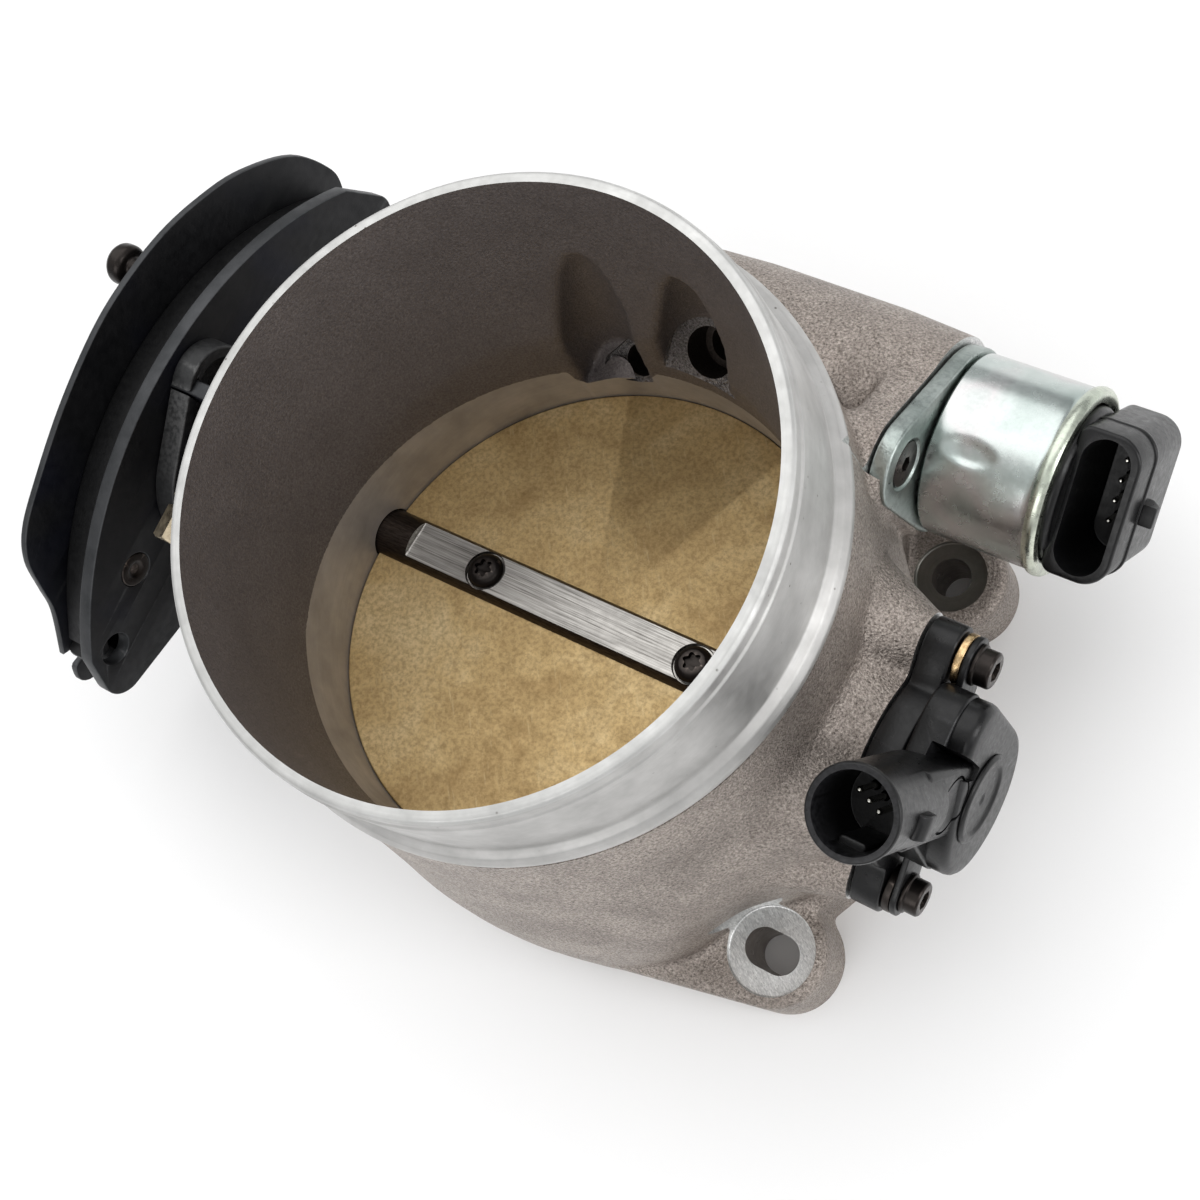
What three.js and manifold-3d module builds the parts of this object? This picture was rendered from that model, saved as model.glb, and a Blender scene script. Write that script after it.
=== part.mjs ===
// Cable-operated throttle body for a four-bolt intake manifold.
//
// Frame: millimetres, +Z up along the bore towards the air inlet, origin on the bore's axis in the
// flange's mounting face. The shaft lies along X: the position sensor is on its +X end and the
// cable wheel on its -X end. +Y is the side of the idle air valve.
// Everything below is laid out about the shaft's centre and then lifted by SHAFT_HEIGHT.

import * as THREE from 'three';
import { mergeVertices } from 'three/addons/utils/BufferGeometryUtils.js';
import Module from 'manifold-3d';

// ---- driving dimensions ------------------------------------------------------------------------

const SHAFT_HEIGHT = 44;        // shaft axis above the flange's mounting face
const BORE_R = 45;              // 90 mm bore
const GAP = 0.3;                // between pieces that rest on each other

const INLET_Z = 58.3;           // inlet's end face, above the shaft
const INLET_Y = 5.96;           // inlet collar's axis, off the bore's axis
const COLLAR_R = 50.8;          // 4 inch hose collar
const COLLAR_BORE_R = 48.4;
const BEAD_R = 53.1;            // hose retaining bead
const BEAD_Z = 36.4;

const FLANGE_Z = -SHAFT_HEIGHT;
const FLANGE_T = 13;
const FLANGE_R = 55.8;
const BOLT_X = 45;              // half of the 90 mm bolt spacing
const BOLT_Y = 37;              // half of the 74 mm bolt spacing
const BOLT_HOLE_R = 3.6;        // clears an M6 bolt
const BOLT_SLOT = 1.6;          // each way along X, in the two ears at -Y
const EAR_R = 9.8;
const EAR_ROOT = [7.4, 35, 20]; // circle that each ear's sides run in to, as x, y and radius

const SHAFT_R = 4.72;
const SHAFT_CLEARANCE = 0.25;
const PLATE_TILT = -9.86;       // closed plate, in degrees about the shaft
const PLATE_T = 2;
const SCREW_X = 22;             // plate screws, each side of the bore's axis
const FLAT_HALF = 38;           // milled flat on the shaft
const FLAT_HEIGHT = 3.1;

const BEARING_R = 8;
const SENSOR_FACE_X = 59.2;     // machined pad under the sensor
const WHEEL_FACE_X = -62;       // end of the shaft boss on the wheel's side

const WHEEL_X = -88;            // inner face of the wheel's inner plate
const WHEEL_PLATE_T = 3;
const WHEEL_OUTER_X = -102;     // inner face of the wheel's outer plate
const WHEEL_OUTER_T = 1.5;

const VALVE_Y = 52.5;           // idle air valve's axis
const VALVE_FACE_X = 42.5;      // pad under the valve's flange
const VALVE_SCREW_R = 20.6;
const VALVE_TURN = 122;         // direction of the valve's visible screw, in degrees from +Y to +Z
const CAN_R = 15.5;

const SENSOR_SCREW_R = 20.6;
const SENSOR_TURN = 30.3;       // direction of the sensor's upper screw, in degrees from +Y to +Z
const SOCKET_TURN = 107;        // direction of the sensor's socket, in the same sense
const SOCKET_MOUTH = 41;        // socket's mouth, from the shaft axis

const STOP_X = -72;             // idle stop screw, along Y
const STOP_Z = 20;

// ---- solids ------------------------------------------------------------------------------------

const wasm = await Module();
wasm.setup();

// A manifold from a closed three.js geometry.
function solid(geometry) {
  const bare = geometry.clone();
  bare.deleteAttribute('normal');
  bare.deleteAttribute('uv');
  const merged = mergeVertices(bare, 1e-4);
  return new wasm.Manifold(new wasm.Mesh({
    numProp: 3,
    vertProperties: new Float32Array(merged.attributes.position.array),
    triVerts: new Uint32Array(merged.index.array),
  }));
}

// A three.js geometry from a manifold.
function geometryOf(body) {
  const { vertProperties, triVerts, numProp } = body.getMesh();
  const positions = new Float32Array((vertProperties.length / numProp) * 3);
  for (let i = 0; i < positions.length / 3; i++) {
    positions.set(vertProperties.subarray(i * numProp, i * numProp + 3), i * 3);
  }
  const geometry = new THREE.BufferGeometry();
  geometry.setAttribute('position', new THREE.BufferAttribute(positions, 3));
  geometry.setIndex(new THREE.BufferAttribute(new Uint32Array(triVerts), 1));
  geometry.computeVertexNormals();
  return geometry;
}

const join = (bodies) => bodies.reduce((sum, body) => sum.add(body));
const cut = (body, tools) => tools.reduce((rest, tool) => rest.subtract(tool), body);

// ---- shapes, each as a closed geometry ------------------------------------------------------------

const TURN = {
  x: new THREE.Matrix4().makeBasis(
    new THREE.Vector3(0, 1, 0), new THREE.Vector3(0, 0, 1), new THREE.Vector3(1, 0, 0)),
  y: new THREE.Matrix4().makeBasis(
    new THREE.Vector3(0, 0, 1), new THREE.Vector3(1, 0, 0), new THREE.Vector3(0, 1, 0)),
  z: new THREE.Matrix4(),
};

// Body of revolution. Profile points are [radius, height along the axis].
function lathe(axis, profile, segments = 36) {
  const geometry = new THREE.LatheGeometry(profile.map(([r, h]) => new THREE.Vector2(r, h)), segments);
  geometry.rotateX(Math.PI / 2);
  return geometry.applyMatrix4(TURN[axis]);
}

// Cylinder from h0 to h1 along an axis, centred on the axis.
function rod(axis, radius, h0, h1, segments = 24) {
  const geometry = new THREE.CylinderGeometry(radius, radius, h1 - h0, segments);
  geometry.rotateX(Math.PI / 2);
  geometry.translate(0, 0, (h0 + h1) / 2);
  return geometry.applyMatrix4(TURN[axis]);
}

// Ring from h0 to h1 along an axis.
function ring(axis, inner, outer, h0, h1, segments = 32) {
  return lathe(axis, [[inner, h0], [outer, h0], [outer, h1], [inner, h1], [inner, h0]], segments);
}

// Prism of a flat outline: in [y, z] along X, in [z, x] along Y and in [x, y] along Z.
function prism(axis, outline, h0, h1) {
  const shape = new THREE.Shape(outline.map(([u, v]) => new THREE.Vector2(u, v)));
  const geometry = new THREE.ExtrudeGeometry(shape, { depth: h1 - h0, bevelEnabled: false });
  geometry.translate(0, 0, h0);
  return geometry.applyMatrix4(TURN[axis]);
}

function box(x0, x1, y0, y1, z0, z1) {
  const geometry = new THREE.BoxGeometry(x1 - x0, y1 - y0, z1 - z0);
  return geometry.translate((x0 + x1) / 2, (y0 + y1) / 2, (z0 + z1) / 2);
}

const at = (geometry, x, y, z) => geometry.translate(x, y, z);

// Convex outline around circles given as [u, v, radius].
function around(circles, steps = 24) {
  const points = circles.flatMap(([u, v, r]) => Array.from({ length: steps }, (_, i) => {
    const a = (i / steps) * 2 * Math.PI;
    return [u + r * Math.cos(a), v + r * Math.sin(a)];
  }));
  points.sort((p, q) => p[0] - q[0] || p[1] - q[1]);
  const half = (list) => {
    const chain = [];
    for (const p of list) {
      while (chain.length > 1 && turn(chain.at(-2), chain.at(-1), p) <= 1e-9) chain.pop();
      chain.push(p);
    }
    return chain.slice(0, -1);
  };
  return [...half(points), ...half(points.reverse())];
}

const turn = (a, b, c) => (b[0] - a[0]) * (c[1] - a[1]) - (b[1] - a[1]) * (c[0] - a[0]);

// Body skinned over level rings of Vector3, lowest first, each running anticlockwise from above.
function loft(rings) {
  const n = rings[0].length;
  const centres = [rings[0], rings.at(-1)].map((points) => points
    .reduce((sum, p) => sum.add(p), new THREE.Vector3()).divideScalar(n));
  const positions = [...rings.flat(), ...centres].flatMap((p) => p.toArray());
  const top = (rings.length - 1) * n;
  const index = [];
  for (let j = 0; j < n; j++) {
    const k = (j + 1) % n;
    for (let i = 0; i < top; i += n) {
      index.push(i + j, i + k, i + n + k, i + j, i + n + k, i + n + j);
    }
    index.push(top + n, k, j, top + n + 1, top + j, top + k);
  }
  const geometry = new THREE.BufferGeometry();
  geometry.setAttribute('position', new THREE.Float32BufferAttribute(positions, 3));
  geometry.setIndex(index);
  return geometry;
}

// Level ring whose radius depends on the angle, about the point (0, y).
function level(z, y, radius, segments = 64) {
  return Array.from({ length: segments }, (_, i) => {
    const a = (i / segments) * 2 * Math.PI;
    const r = typeof radius === 'function' ? radius(a) : radius;
    return new THREE.Vector3(r * Math.cos(a), y + r * Math.sin(a), z);
  });
}

// Tube of round section along a curve.
function tube(curve, radius, steps, sides = 10) {
  const section = new THREE.Shape();
  section.absarc(0, 0, radius, 0, 2 * Math.PI, false);
  return new THREE.ExtrudeGeometry(section, {
    steps, curveSegments: sides / 2, bevelEnabled: false, extrudePath: curve,
  });
}

// Regular prism with its flats across the given width.
function hexagon(width) {
  const r = width / Math.sqrt(3);
  return Array.from({ length: 6 }, (_, i) => {
    const a = i * Math.PI / 3;
    return [r * Math.cos(a), r * Math.sin(a)];
  });
}

// ---- finishes ------------------------------------------------------------------------------------

const finish = {
  cast: { color: 0x9a8f88, roughness: 0.7, metalness: 0.8 },
  brass: { color: 0xc3a468, roughness: 0.45, metalness: 0.9 },
  steel: { color: 0x8d8a88, roughness: 0.35, metalness: 1 },
  darkSteel: { color: 0x1f1f21, roughness: 0.5, metalness: 0.8 },
  blackSteel: { color: 0x18191c, roughness: 0.45, metalness: 0.7 },
  zinc: { color: 0xaeb4b0, roughness: 0.3, metalness: 1 },
  yellowZinc: { color: 0xc9b898, roughness: 0.4, metalness: 0.9 },
  plastic: { color: 0x1b1b1d, roughness: 0.55, metalness: 0 },
  rubber: { color: 0x141414, roughness: 0.8, metalness: 0 },
  tinned: { color: 0xc8c8c4, roughness: 0.3, metalness: 1 },
};

function mesh(name, shape, look) {
  const geometry = shape instanceof THREE.BufferGeometry ? shape : geometryOf(shape);
  const piece = new THREE.Mesh(geometry, new THREE.MeshStandardMaterial(look));
  piece.name = name;
  return piece;
}

// Group placed at a point and turned about X.
function station(parent, x, y, z, degrees) {
  const group = new THREE.Group();
  group.position.set(x, y, z);
  group.rotation.x = THREE.MathUtils.degToRad(degrees);
  parent.add(group);
  return group;
}

const throttleBody = new THREE.Group();
const core = station(throttleBody, 0, 0, SHAFT_HEIGHT, 0);

// ---- housing -------------------------------------------------------------------------------------

const EARS = [[BOLT_X, BOLT_Y], [BOLT_X, -BOLT_Y], [-BOLT_X, BOLT_Y], [-BOLT_X, -BOLT_Y]];
const EAR_ANGLES = EARS.map(([x, y]) => Math.atan2(y, x));

const polar = (r, degrees) => {
  const a = THREE.MathUtils.degToRad(degrees);
  return [r * Math.cos(a), r * Math.sin(a)];
};

const SENSOR_SCREWS = [polar(SENSOR_SCREW_R, SENSOR_TURN), polar(-SENSOR_SCREW_R, SENSOR_TURN)];
const VALVE_SCREWS = [polar(VALVE_SCREW_R, VALVE_TURN), polar(-VALVE_SCREW_R, VALVE_TURN)];

// Cast skin: a round barrel, drawn in behind each of the four ears as it nears the flange.
function skin(base, valley) {
  return (a) => base - EAR_ANGLES.reduce((sum, ear) => {
    const d = Math.atan2(Math.sin(a - ear), Math.cos(a - ear));
    return sum + valley * Math.exp(-((d / 0.2) ** 2));
  }, 0);
}

function castBarrel() {
  return loft([
    level(FLANGE_Z + 2, 0, 55),
    level(FLANGE_Z + FLANGE_T, 0, skin(55.8, 5.4)),
    level(-24, 0, skin(55.8, 4.2)),
    level(-8, 0.9, skin(55, 1.2)),
    level(10, 2.8, 53.4),
    level(BEAD_Z - 2.6, INLET_Y, 52.4),
  ]);
}

function flangePlate() {
  const [rootX, rootY, rootR] = EAR_ROOT;
  const ears = EARS.map(([x, y]) => {
    const root = [Math.sign(x) * rootX, Math.sign(y) * rootY, rootR];
    return solid(prism('z', around([[x, y, EAR_R], root], 36), FLANGE_Z, FLANGE_Z + FLANGE_T));
  });
  return join([solid(rod('z', FLANGE_R, FLANGE_Z, FLANGE_Z + FLANGE_T, 72)), ...ears]);
}

// Hose collar with its retaining bead at the bottom and a shallow relief behind its end face.
function collar() {
  return at(lathe('z', [
    [0, BEAD_Z - 3.4], [51.4, BEAD_Z - 3.4], [52.6, BEAD_Z - 1.6], [BEAD_R, BEAD_Z - 0.6],
    [BEAD_R, BEAD_Z + 0.6], [52.4, BEAD_Z + 1.7], [COLLAR_R, BEAD_Z + 2.6],
    [COLLAR_R, INLET_Z - 3.2], [COLLAR_R - 0.35, INLET_Z - 2.9], [COLLAR_R - 0.35, INLET_Z - 0.5],
    [COLLAR_R - 0.9, INLET_Z], [0, INLET_Z],
  ], 64), 0, INLET_Y, 0);
}

// Round hub with two ears: the shape of the sensor's pad and of its bracket.
function hubAndEars(hub, ear, x0, x1) {
  const ears = around(SENSOR_SCREWS.map(([y, z]) => [y, z, ear]), 32);
  return solid(rod('x', hub, x0, x1, 48)).add(solid(prism('x', ears, x0, x1)));
}

function sensorBoss() {
  const root = loft([level(0, 0, 34, 32), level(9, 0, 24, 32), level(18, 0, 18, 32)]);
  return join([
    hubAndEars(16, 5.6, 30, SENSOR_FACE_X),
    solid(at(root.applyMatrix4(TURN.x), 38, 0, 0)),
  ]);
}

// Shaft boss on the wheel's side, with the lug that holds the idle stop screw.
function wheelBoss() {
  const root = loft([level(0, 0, 17, 32), level(15, 0, 30, 32)]).applyMatrix4(TURN.x);
  return join([
    solid(rod('x', 15, WHEEL_FACE_X, -30, 32)),
    solid(at(root, -54, 0, 0)),
    solid(prism('y', around([[STOP_Z, STOP_X, 4.4], [STOP_Z, -58, 4.4]], 16), -8, 3)),
    solid(box(WHEEL_FACE_X + 0.5, -44, -8, 3, 6, STOP_Z + 4.2)),
  ]);
}

// Outline shared by the valve's flange and its pad, grown by a margin.
const diamond = (margin) => around([
  [0, 0, 16 + margin], ...VALVE_SCREWS.map(([y, z]) => [y, z, 7.4 + margin]),
]);

// Long rounded tunnel that carries the idle air valve beside the bore.
function valveTunnel() {
  const tunnel = lathe('x', [
    [0, -26], [7, -25], [12.5, -21.5], [16, -16], [17.5, -8], [18, 4], [17.6, 30],
    [16.6, VALVE_FACE_X], [0, VALVE_FACE_X],
  ]);
  return join([
    solid(at(tunnel, 0, VALVE_Y, 0)),
    solid(at(prism('x', diamond(0.6), VALVE_FACE_X - 5, VALVE_FACE_X), 0, VALVE_Y, 0)),
    solid(box(-16, 36, 30, VALVE_Y, FLANGE_Z + 6, 0)),
  ]);
}

// The inlet bell, cast off the bore's axis, and the bore machined through it.
function airway() {
  const bell = loft([
    level(2, 0.45, 44.5),
    level(20, 0.25, 45.15),
    level(INLET_Z, INLET_Y, COLLAR_BORE_R),
    level(INLET_Z + 5, INLET_Y, COLLAR_BORE_R),
  ]);
  return [bell, rod('z', BORE_R, FLANGE_Z - 5, 24, 64)];
}

function shaftBores() {
  return [
    rod('x', SHAFT_R + SHAFT_CLEARANCE, -100, 100, 24),
    rod('x', BEARING_R + GAP, SENSOR_FACE_X - 11.2, SENSOR_FACE_X + 1),
    rod('x', BEARING_R + GAP, WHEEL_FACE_X - 1, WHEEL_FACE_X + 12.5),
    at(rod('y', 2.85, -20, 20, 16), STOP_X, 0, STOP_Z),
  ];
}

function boltHoles() {
  return EARS.flatMap(([x, y]) => {
    const half = y < 0 ? BOLT_SLOT : 0;
    const slot = around([[x - half, y, BOLT_HOLE_R], [x + half, y, BOLT_HOLE_R]], 20);
    return [
      prism('z', slot, FLANGE_Z - 1, 0),
      at(rod('z', y < 0 ? 8 : 6.6, FLANGE_Z + FLANGE_T - 0.6, -8, 28), x, y, 0),
    ];
  });
}

// Milled flat under the valve's flange.
const padCut = () => at(prism('x', diamond(0.6), VALVE_FACE_X, VALVE_FACE_X + 10), 0, VALVE_Y, 0);

// Two pockets milled down into the bell, and the idle air passages that start in them.
function airPassages() {
  const pocket = (rings) => loft(rings.map(([z, x, y, r]) =>
    level(z, y, r, 20).map((p) => p.setX(p.x + x))));
  const outlet = rod('y', 4, -26, 0, 20).rotateX(THREE.MathUtils.degToRad(50));
  const port = rod('z', 4.6, -13, 3, 20).rotateX(THREE.MathUtils.degToRad(40));
  return [
    pocket([[0, -17.2, 41.5, 6.2], [26, -12.2, 44, 5.6], [38, -11.3, 47.6, 3]]),
    pocket([[9.5, 2, 45.5, 6.2], [29, 7.4, 47, 6.6], [40, 8.8, 49, 4]]),
    at(rod('x', 9.6, 17, VALVE_FACE_X + 1, 32), 0, VALVE_Y, 0),
    at(rod('x', 7, 8, 18, 32), 0, VALVE_Y, 0),
    at(rod('x', 4.6, -2, 9, 20), 0, VALVE_Y, 0),
    at(port, 3.8, 49.1, 12.9),
    at(outlet, 22, VALVE_Y, 0),
    at(rod('y', 2.6, 44, 54, 16), -12, 0, 3),
  ];
}

function screwHoles() {
  const hole = (x, y, z) => at(rod('x', 1.95, x - 13, x + 1, 12), 0, y, z);
  return [
    ...SENSOR_SCREWS.map(([y, z]) => hole(SENSOR_FACE_X, y, z)),
    ...VALVE_SCREWS.map(([y, z]) => hole(VALVE_FACE_X, VALVE_Y + y, z)),
  ];
}

const casting = join([
  solid(castBarrel()), flangePlate(), solid(collar()), sensorBoss(), wheelBoss(), valveTunnel(),
]);
const openings = [
  ...airway(), ...shaftBores(), ...boltHoles(), padCut(), ...airPassages(), ...screwHoles(),
];
core.add(mesh('housing', cut(casting, openings.map(solid)), finish.cast));

// ---- shaft bearings and seals ----------------------------------------------------------------------

const bearing = (x0, x1) => ring('x', SHAFT_R + 0.2, BEARING_R, x0, x1);
const seal = (x0, x1) => ring('x', SHAFT_R + 0.15, BEARING_R, x0, x1);

core.add(
  mesh('bearing_wheel_side', bearing(-59, -50), finish.steel),
  mesh('bearing_sensor_side', bearing(48.3, 54.8), finish.steel),
  mesh('shaft_seal_wheel_side', seal(-61.7, -59.3), finish.rubber),
  mesh('shaft_seal_sensor_side', seal(55.1, 57.8), finish.rubber),
);

// ---- throttle shaft and plate, in the plate's own plane ----------------------------------------------

const tilted = station(core, 0, 0, 0, PLATE_TILT);
const SHAFT_END = [-112, 70];
const WHEEL_FLAT = 3.6;         // half the width across the two flats at each end of the shaft

function shaft() {
  const flat = box(-FLAT_HALF, FLAT_HALF, -6, 6, FLAT_HEIGHT, 6);
  const slot = box(-BORE_R, BORE_R, -6, 6, -PLATE_T / 2 - 0.1, PLATE_T / 2 + 0.1);
  const ends = [[SHAFT_END[0] - 1, WHEEL_X], [65.6, SHAFT_END[1] + 1]].flatMap(([x0, x1]) => [
    box(x0, x1, -6, 6, WHEEL_FLAT, 6), box(x0, x1, -6, 6, -6, -WHEEL_FLAT),
  ]);
  const screws = [SCREW_X, -SCREW_X].flatMap((x) => [
    at(rod('z', 3.7, 2.2, 6), x, 0, 0), at(rod('z', 1.9, -6, 6, 16), x, 0, 0),
  ]);
  const stock = solid(rod('x', SHAFT_R, ...SHAFT_END, 32));
  return cut(stock, [flat, slot, ...ends, ...screws].map(solid));
}

// Round bore outline sheared through the tilted plate, so that it closes the bore.
function plate() {
  const slab = box(-BORE_R, BORE_R, -50, 50, -PLATE_T / 2, PLATE_T / 2);
  const round = rod('z', BORE_R - 0.2, -30, 30, 72)
    .rotateX(THREE.MathUtils.degToRad(-PLATE_TILT));
  const holes = [SCREW_X, -SCREW_X].map((x) => solid(at(rod('z', 1.9, -6, 6, 16), x, 0, 0)));
  return cut(solid(slab).intersect(solid(round)), holes);
}

// Button-head screw with its recess, standing along +Z.
function plateScrew() {
  const body = lathe('z', [
    [0, -3.6], [1.6, -3.6], [1.6, 2.4], [3.35, 2.4], [3.35, 3.2], [2.6, 4], [1.5, 4.4], [0, 4.4],
  ], 20);
  return solid(body).subtract(solid(rod('z', 1.25, 3.1, 6, 6)));
}

tilted.add(mesh('throttle_shaft', shaft(), finish.steel), mesh('throttle_plate', plate(), finish.brass));
for (const [name, x] of [['plate_screw_wheel_side', -SCREW_X], ['plate_screw_sensor_side', SCREW_X]]) {
  const screw = mesh(name, plateScrew(), finish.darkSteel);
  screw.position.x = x;
  tilted.add(screw);
}

// ---- cable wheel -----------------------------------------------------------------------------------

const RIVETS = [[-27.1, 7.3], [31, 2]];
const RIVET_R = 3.4;

// Bow-shaped outline: one long arc for the cable, closed around the hub. Margin shrinks the arc.
function bow(margin) {
  const arc = Array.from({ length: 21 }, (_, i) => {
    const [y, z] = polar(73.6 - margin, 44 + i * 4.5);
    return [4.4 + y, z - 47, 0];
  });
  return around([...arc, [-45.2, -3.8, 5.4 - margin / 2], [57, -8, 5 - margin / 2], [0, 0, 22 - margin]]);
}

// Slot that fits the shaft's two flats, turned with the plate.
function wheelBore(x0, x1) {
  const flats = solid(box(x0, x1, -6, 6, -WHEEL_FLAT - 0.25, WHEEL_FLAT + 0.25));
  return flats.intersect(solid(rod('x', SHAFT_R + 0.25, x0, x1))).rotate([PLATE_TILT, 0, 0]);
}

const rivetHoles = (x0, x1) => RIVETS
  .map(([y, z]) => solid(at(rod('x', RIVET_R + GAP, x0, x1, 20), 0, y, z)));

function innerPlate() {
  const x0 = WHEEL_X - WHEEL_PLATE_T;
  const tab = box(WHEEL_X - 1, STOP_X + 4, 6, 9, 17, 23);
  const sheet = solid(prism('x', bow(0), x0, WHEEL_X)).add(solid(tab));
  const slotHole = solid(at(rod('x', 3.3, x0 - 1, WHEEL_X + 1, 20), 0, -42.4, 1.7));
  return cut(sheet, [wheelBore(x0 - 1, WHEEL_X + 1), slotHole, ...rivetHoles(x0 - 1, WHEEL_X + 1)]);
}

// Outer plate: the same bow, fuller along the top, with a slot that lets the cable's end in.
function outerPlate() {
  const rim = new THREE.SplineCurve([
    [62, -12], [63.4, -6], [60, 6], [50.6, 16.8], [41.5, 23], [31, 27.8], [18.8, 30.6], [8, 31.2],
    [-6.5, 29.5], [-21, 26], [-29.7, 23], [-35, 18.5], [-38.6, 11.5], [-41.5, 5.7], [-48.4, -2.4],
  ].map(([y, z]) => new THREE.Vector2(y, z)));
  const outline = [
    ...rim.getPoints(36).map((p) => [p.x, p.y]),
    [-45.5, -4.8], [-38, -4.4], [-38, -7.4], [-47.4, -8], [-49.9, -7], [-52.2, -10.5], [-51, -13.5],
    [-46, -15.5], [-10, -22], [10, -22], [56, -15.5],
  ];
  const x0 = WHEEL_OUTER_X - WHEEL_OUTER_T;
  return cut(solid(prism('x', outline, x0, WHEEL_OUTER_X)), [
    wheelBore(x0 - 1, WHEEL_OUTER_X + 1), ...rivetHoles(x0 - 1, WHEEL_OUTER_X + 1),
  ]);
}

function drum() {
  const [x0, x1] = [WHEEL_OUTER_X + GAP, WHEEL_X - WHEEL_PLATE_T - GAP];
  const anchor = at(rod('x', 3.4, x0 - 1, x1 + 1, 20), 0, -39.5, -1.5);
  const way = box(x0 - 1, x1 + 1, -60, -39.5, -2.6, -0.4);
  return cut(solid(prism('x', bow(6), x0, x1)), [
    solid(anchor), solid(way), wheelBore(x0 - 1, x1 + 1), ...rivetHoles(x0 - 1, x1 + 1),
  ]);
}

function cruiseStud() {
  return lathe('x', [
    [0, 0], [2, 0], [2, -2.6], [3.6, -2.9], [4, -3.6], [4, -5.4], [3.2, -6.6], [0, -7],
  ].map(([r, h]) => [r, h - GAP]).reverse(), 20);
}

core.add(
  mesh('cable_wheel_inner_plate', innerPlate(), finish.blackSteel),
  mesh('cable_wheel_outer_plate', outerPlate(), finish.blackSteel),
  mesh('cable_wheel_drum', drum(), finish.blackSteel),
);
RIVETS.forEach(([y, z], i) => {
  const shape = rod('x', RIVET_R, WHEEL_OUTER_X - WHEEL_OUTER_T, WHEEL_X, 20);
  const rivet = mesh(`cable_wheel_rivet_${i + 1}`, shape, finish.darkSteel);
  rivet.position.set(0, y, z);
  core.add(rivet);
});

const stud = mesh('cruise_cable_stud', cruiseStud(), finish.blackSteel);
stud.position.set(WHEEL_OUTER_X - WHEEL_OUTER_T, 23.4, 26);
core.add(stud);

// Nut and washer that clamp the wheel on the shaft.
const NUT_X = WHEEL_OUTER_X - WHEEL_OUTER_T - GAP;
core.add(
  mesh('wheel_washer', ring('x', SHAFT_R + 0.3, 9, NUT_X - 1.2, NUT_X, 24), finish.steel),
  mesh('wheel_nut', cut(solid(prism('x', hexagon(13), NUT_X - 6.5, NUT_X - 1.5)), [
    solid(rod('x', SHAFT_R + 0.3, NUT_X - 8, NUT_X, 20)),
  ]), finish.steel),
);

// ---- return spring, its cup and its bush -------------------------------------------------------------

const SPRING_R = 14;
const SPRING_WIRE = 1;
const SPRING_TURNS = 5.5;

function springCurve() {
  const [x0, x1] = [-81, -65];
  const points = Array.from({ length: Math.round(SPRING_TURNS * 14) + 1 }, (_, i) => {
    const t = i / (SPRING_TURNS * 14);
    const [y, z] = polar(SPRING_R, 90 + t * SPRING_TURNS * 360);
    return new THREE.Vector3(x0 + (x1 - x0) * t, y, z);
  });
  return new THREE.CatmullRomCurve3(points);
}

// Shallow cup on the wheel around the spring, with a lobe for the spring's end.
function springCup() {
  const outline = (margin) => around([[0, 0, 18.2 - margin], [10.5, 17, 7.6 - margin]], 32);
  return cut(solid(prism('x', outline(0), WHEEL_X + GAP, WHEEL_X + 5.2)), [
    solid(prism('x', outline(2.2), WHEEL_X + 2.2, WHEEL_X + 6)),
    solid(rod('x', 5.2, WHEEL_X - 1, WHEEL_X + 6)),
    solid(box(WHEEL_X - 1, WHEEL_X + 6, 5.6, 9.4, 16.6, 23.4)),
  ]);
}

core.add(
  mesh('return_spring', tube(springCurve(), SPRING_WIRE, Math.round(SPRING_TURNS * 14), 6),
    finish.blackSteel),
  mesh('spring_bush', lathe('x', [
    [5.2, -82.4], [12.4, -82.4], [12.4, -63.4], [14.5, -63.4], [14.5, -62.3], [5.2, -62.3],
    [5.2, -82.4],
  ], 28), finish.plastic),
  mesh('spring_cup', springCup(), finish.plastic),
);

// ---- idle stop screw ---------------------------------------------------------------------------------

function stopScrew() {
  const thread = solid(rod('y', 2.5, -13.8, 5.7, 16));
  const head = solid(prism('y', hexagon(8), -20, -13.5));
  return thread.add(head);
}

function stopNut() {
  return solid(prism('y', hexagon(8), -12, -8.3)).subtract(solid(rod('y', 2.8, -13, -7, 16)));
}

for (const [name, shape] of [['idle_stop_screw', stopScrew()], ['idle_stop_nut', stopNut()]]) {
  const piece = mesh(name, shape, finish.yellowZinc);
  piece.position.set(STOP_X, 0, STOP_Z);
  core.add(piece);
}

// ---- idle air valve: x from the pad, +Y towards its visible screw --------------------------------------

const valve = station(core, VALVE_FACE_X, VALVE_Y, 0, VALVE_TURN);

function valveFlange() {
  const outline = around([[0, 0, 16], [VALVE_SCREW_R, 0, 7.4], [-VALVE_SCREW_R, 0, 7.4]], 32);
  const holes = [1, -1].map((side) => solid(at(lathe('x', [
    [0, -1], [2.2, -1], [2.2, 1.4], [4.5, 3.4], [4.5, 5], [0, 5],
  ], 20), 0, side * VALVE_SCREW_R, 0)));
  return cut(solid(prism('x', outline, GAP, 3.3)), [solid(rod('x', 7.3, -1, 5)), ...holes]);
}

// Drawn can with a closed back and its mouth rolled over the connector's foot.
function valveCan() {
  return lathe('x', [
    [4.6, 3.6], [CAN_R, 3.6], [CAN_R, 22.2], [CAN_R + 0.5, 22.8], [CAN_R + 0.5, 23.8],
    [CAN_R - 0.3, 24.4], [13.6, 24.4], [13.6, 23.6], [14.3, 23], [14.3, 4.8], [4.6, 4.8], [4.6, 3.6],
  ]);
}

const VALVE_PIN_X = 29.8;
const VALVE_PINS = [-5.25, -1.75, 1.75, 5.25];

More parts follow.
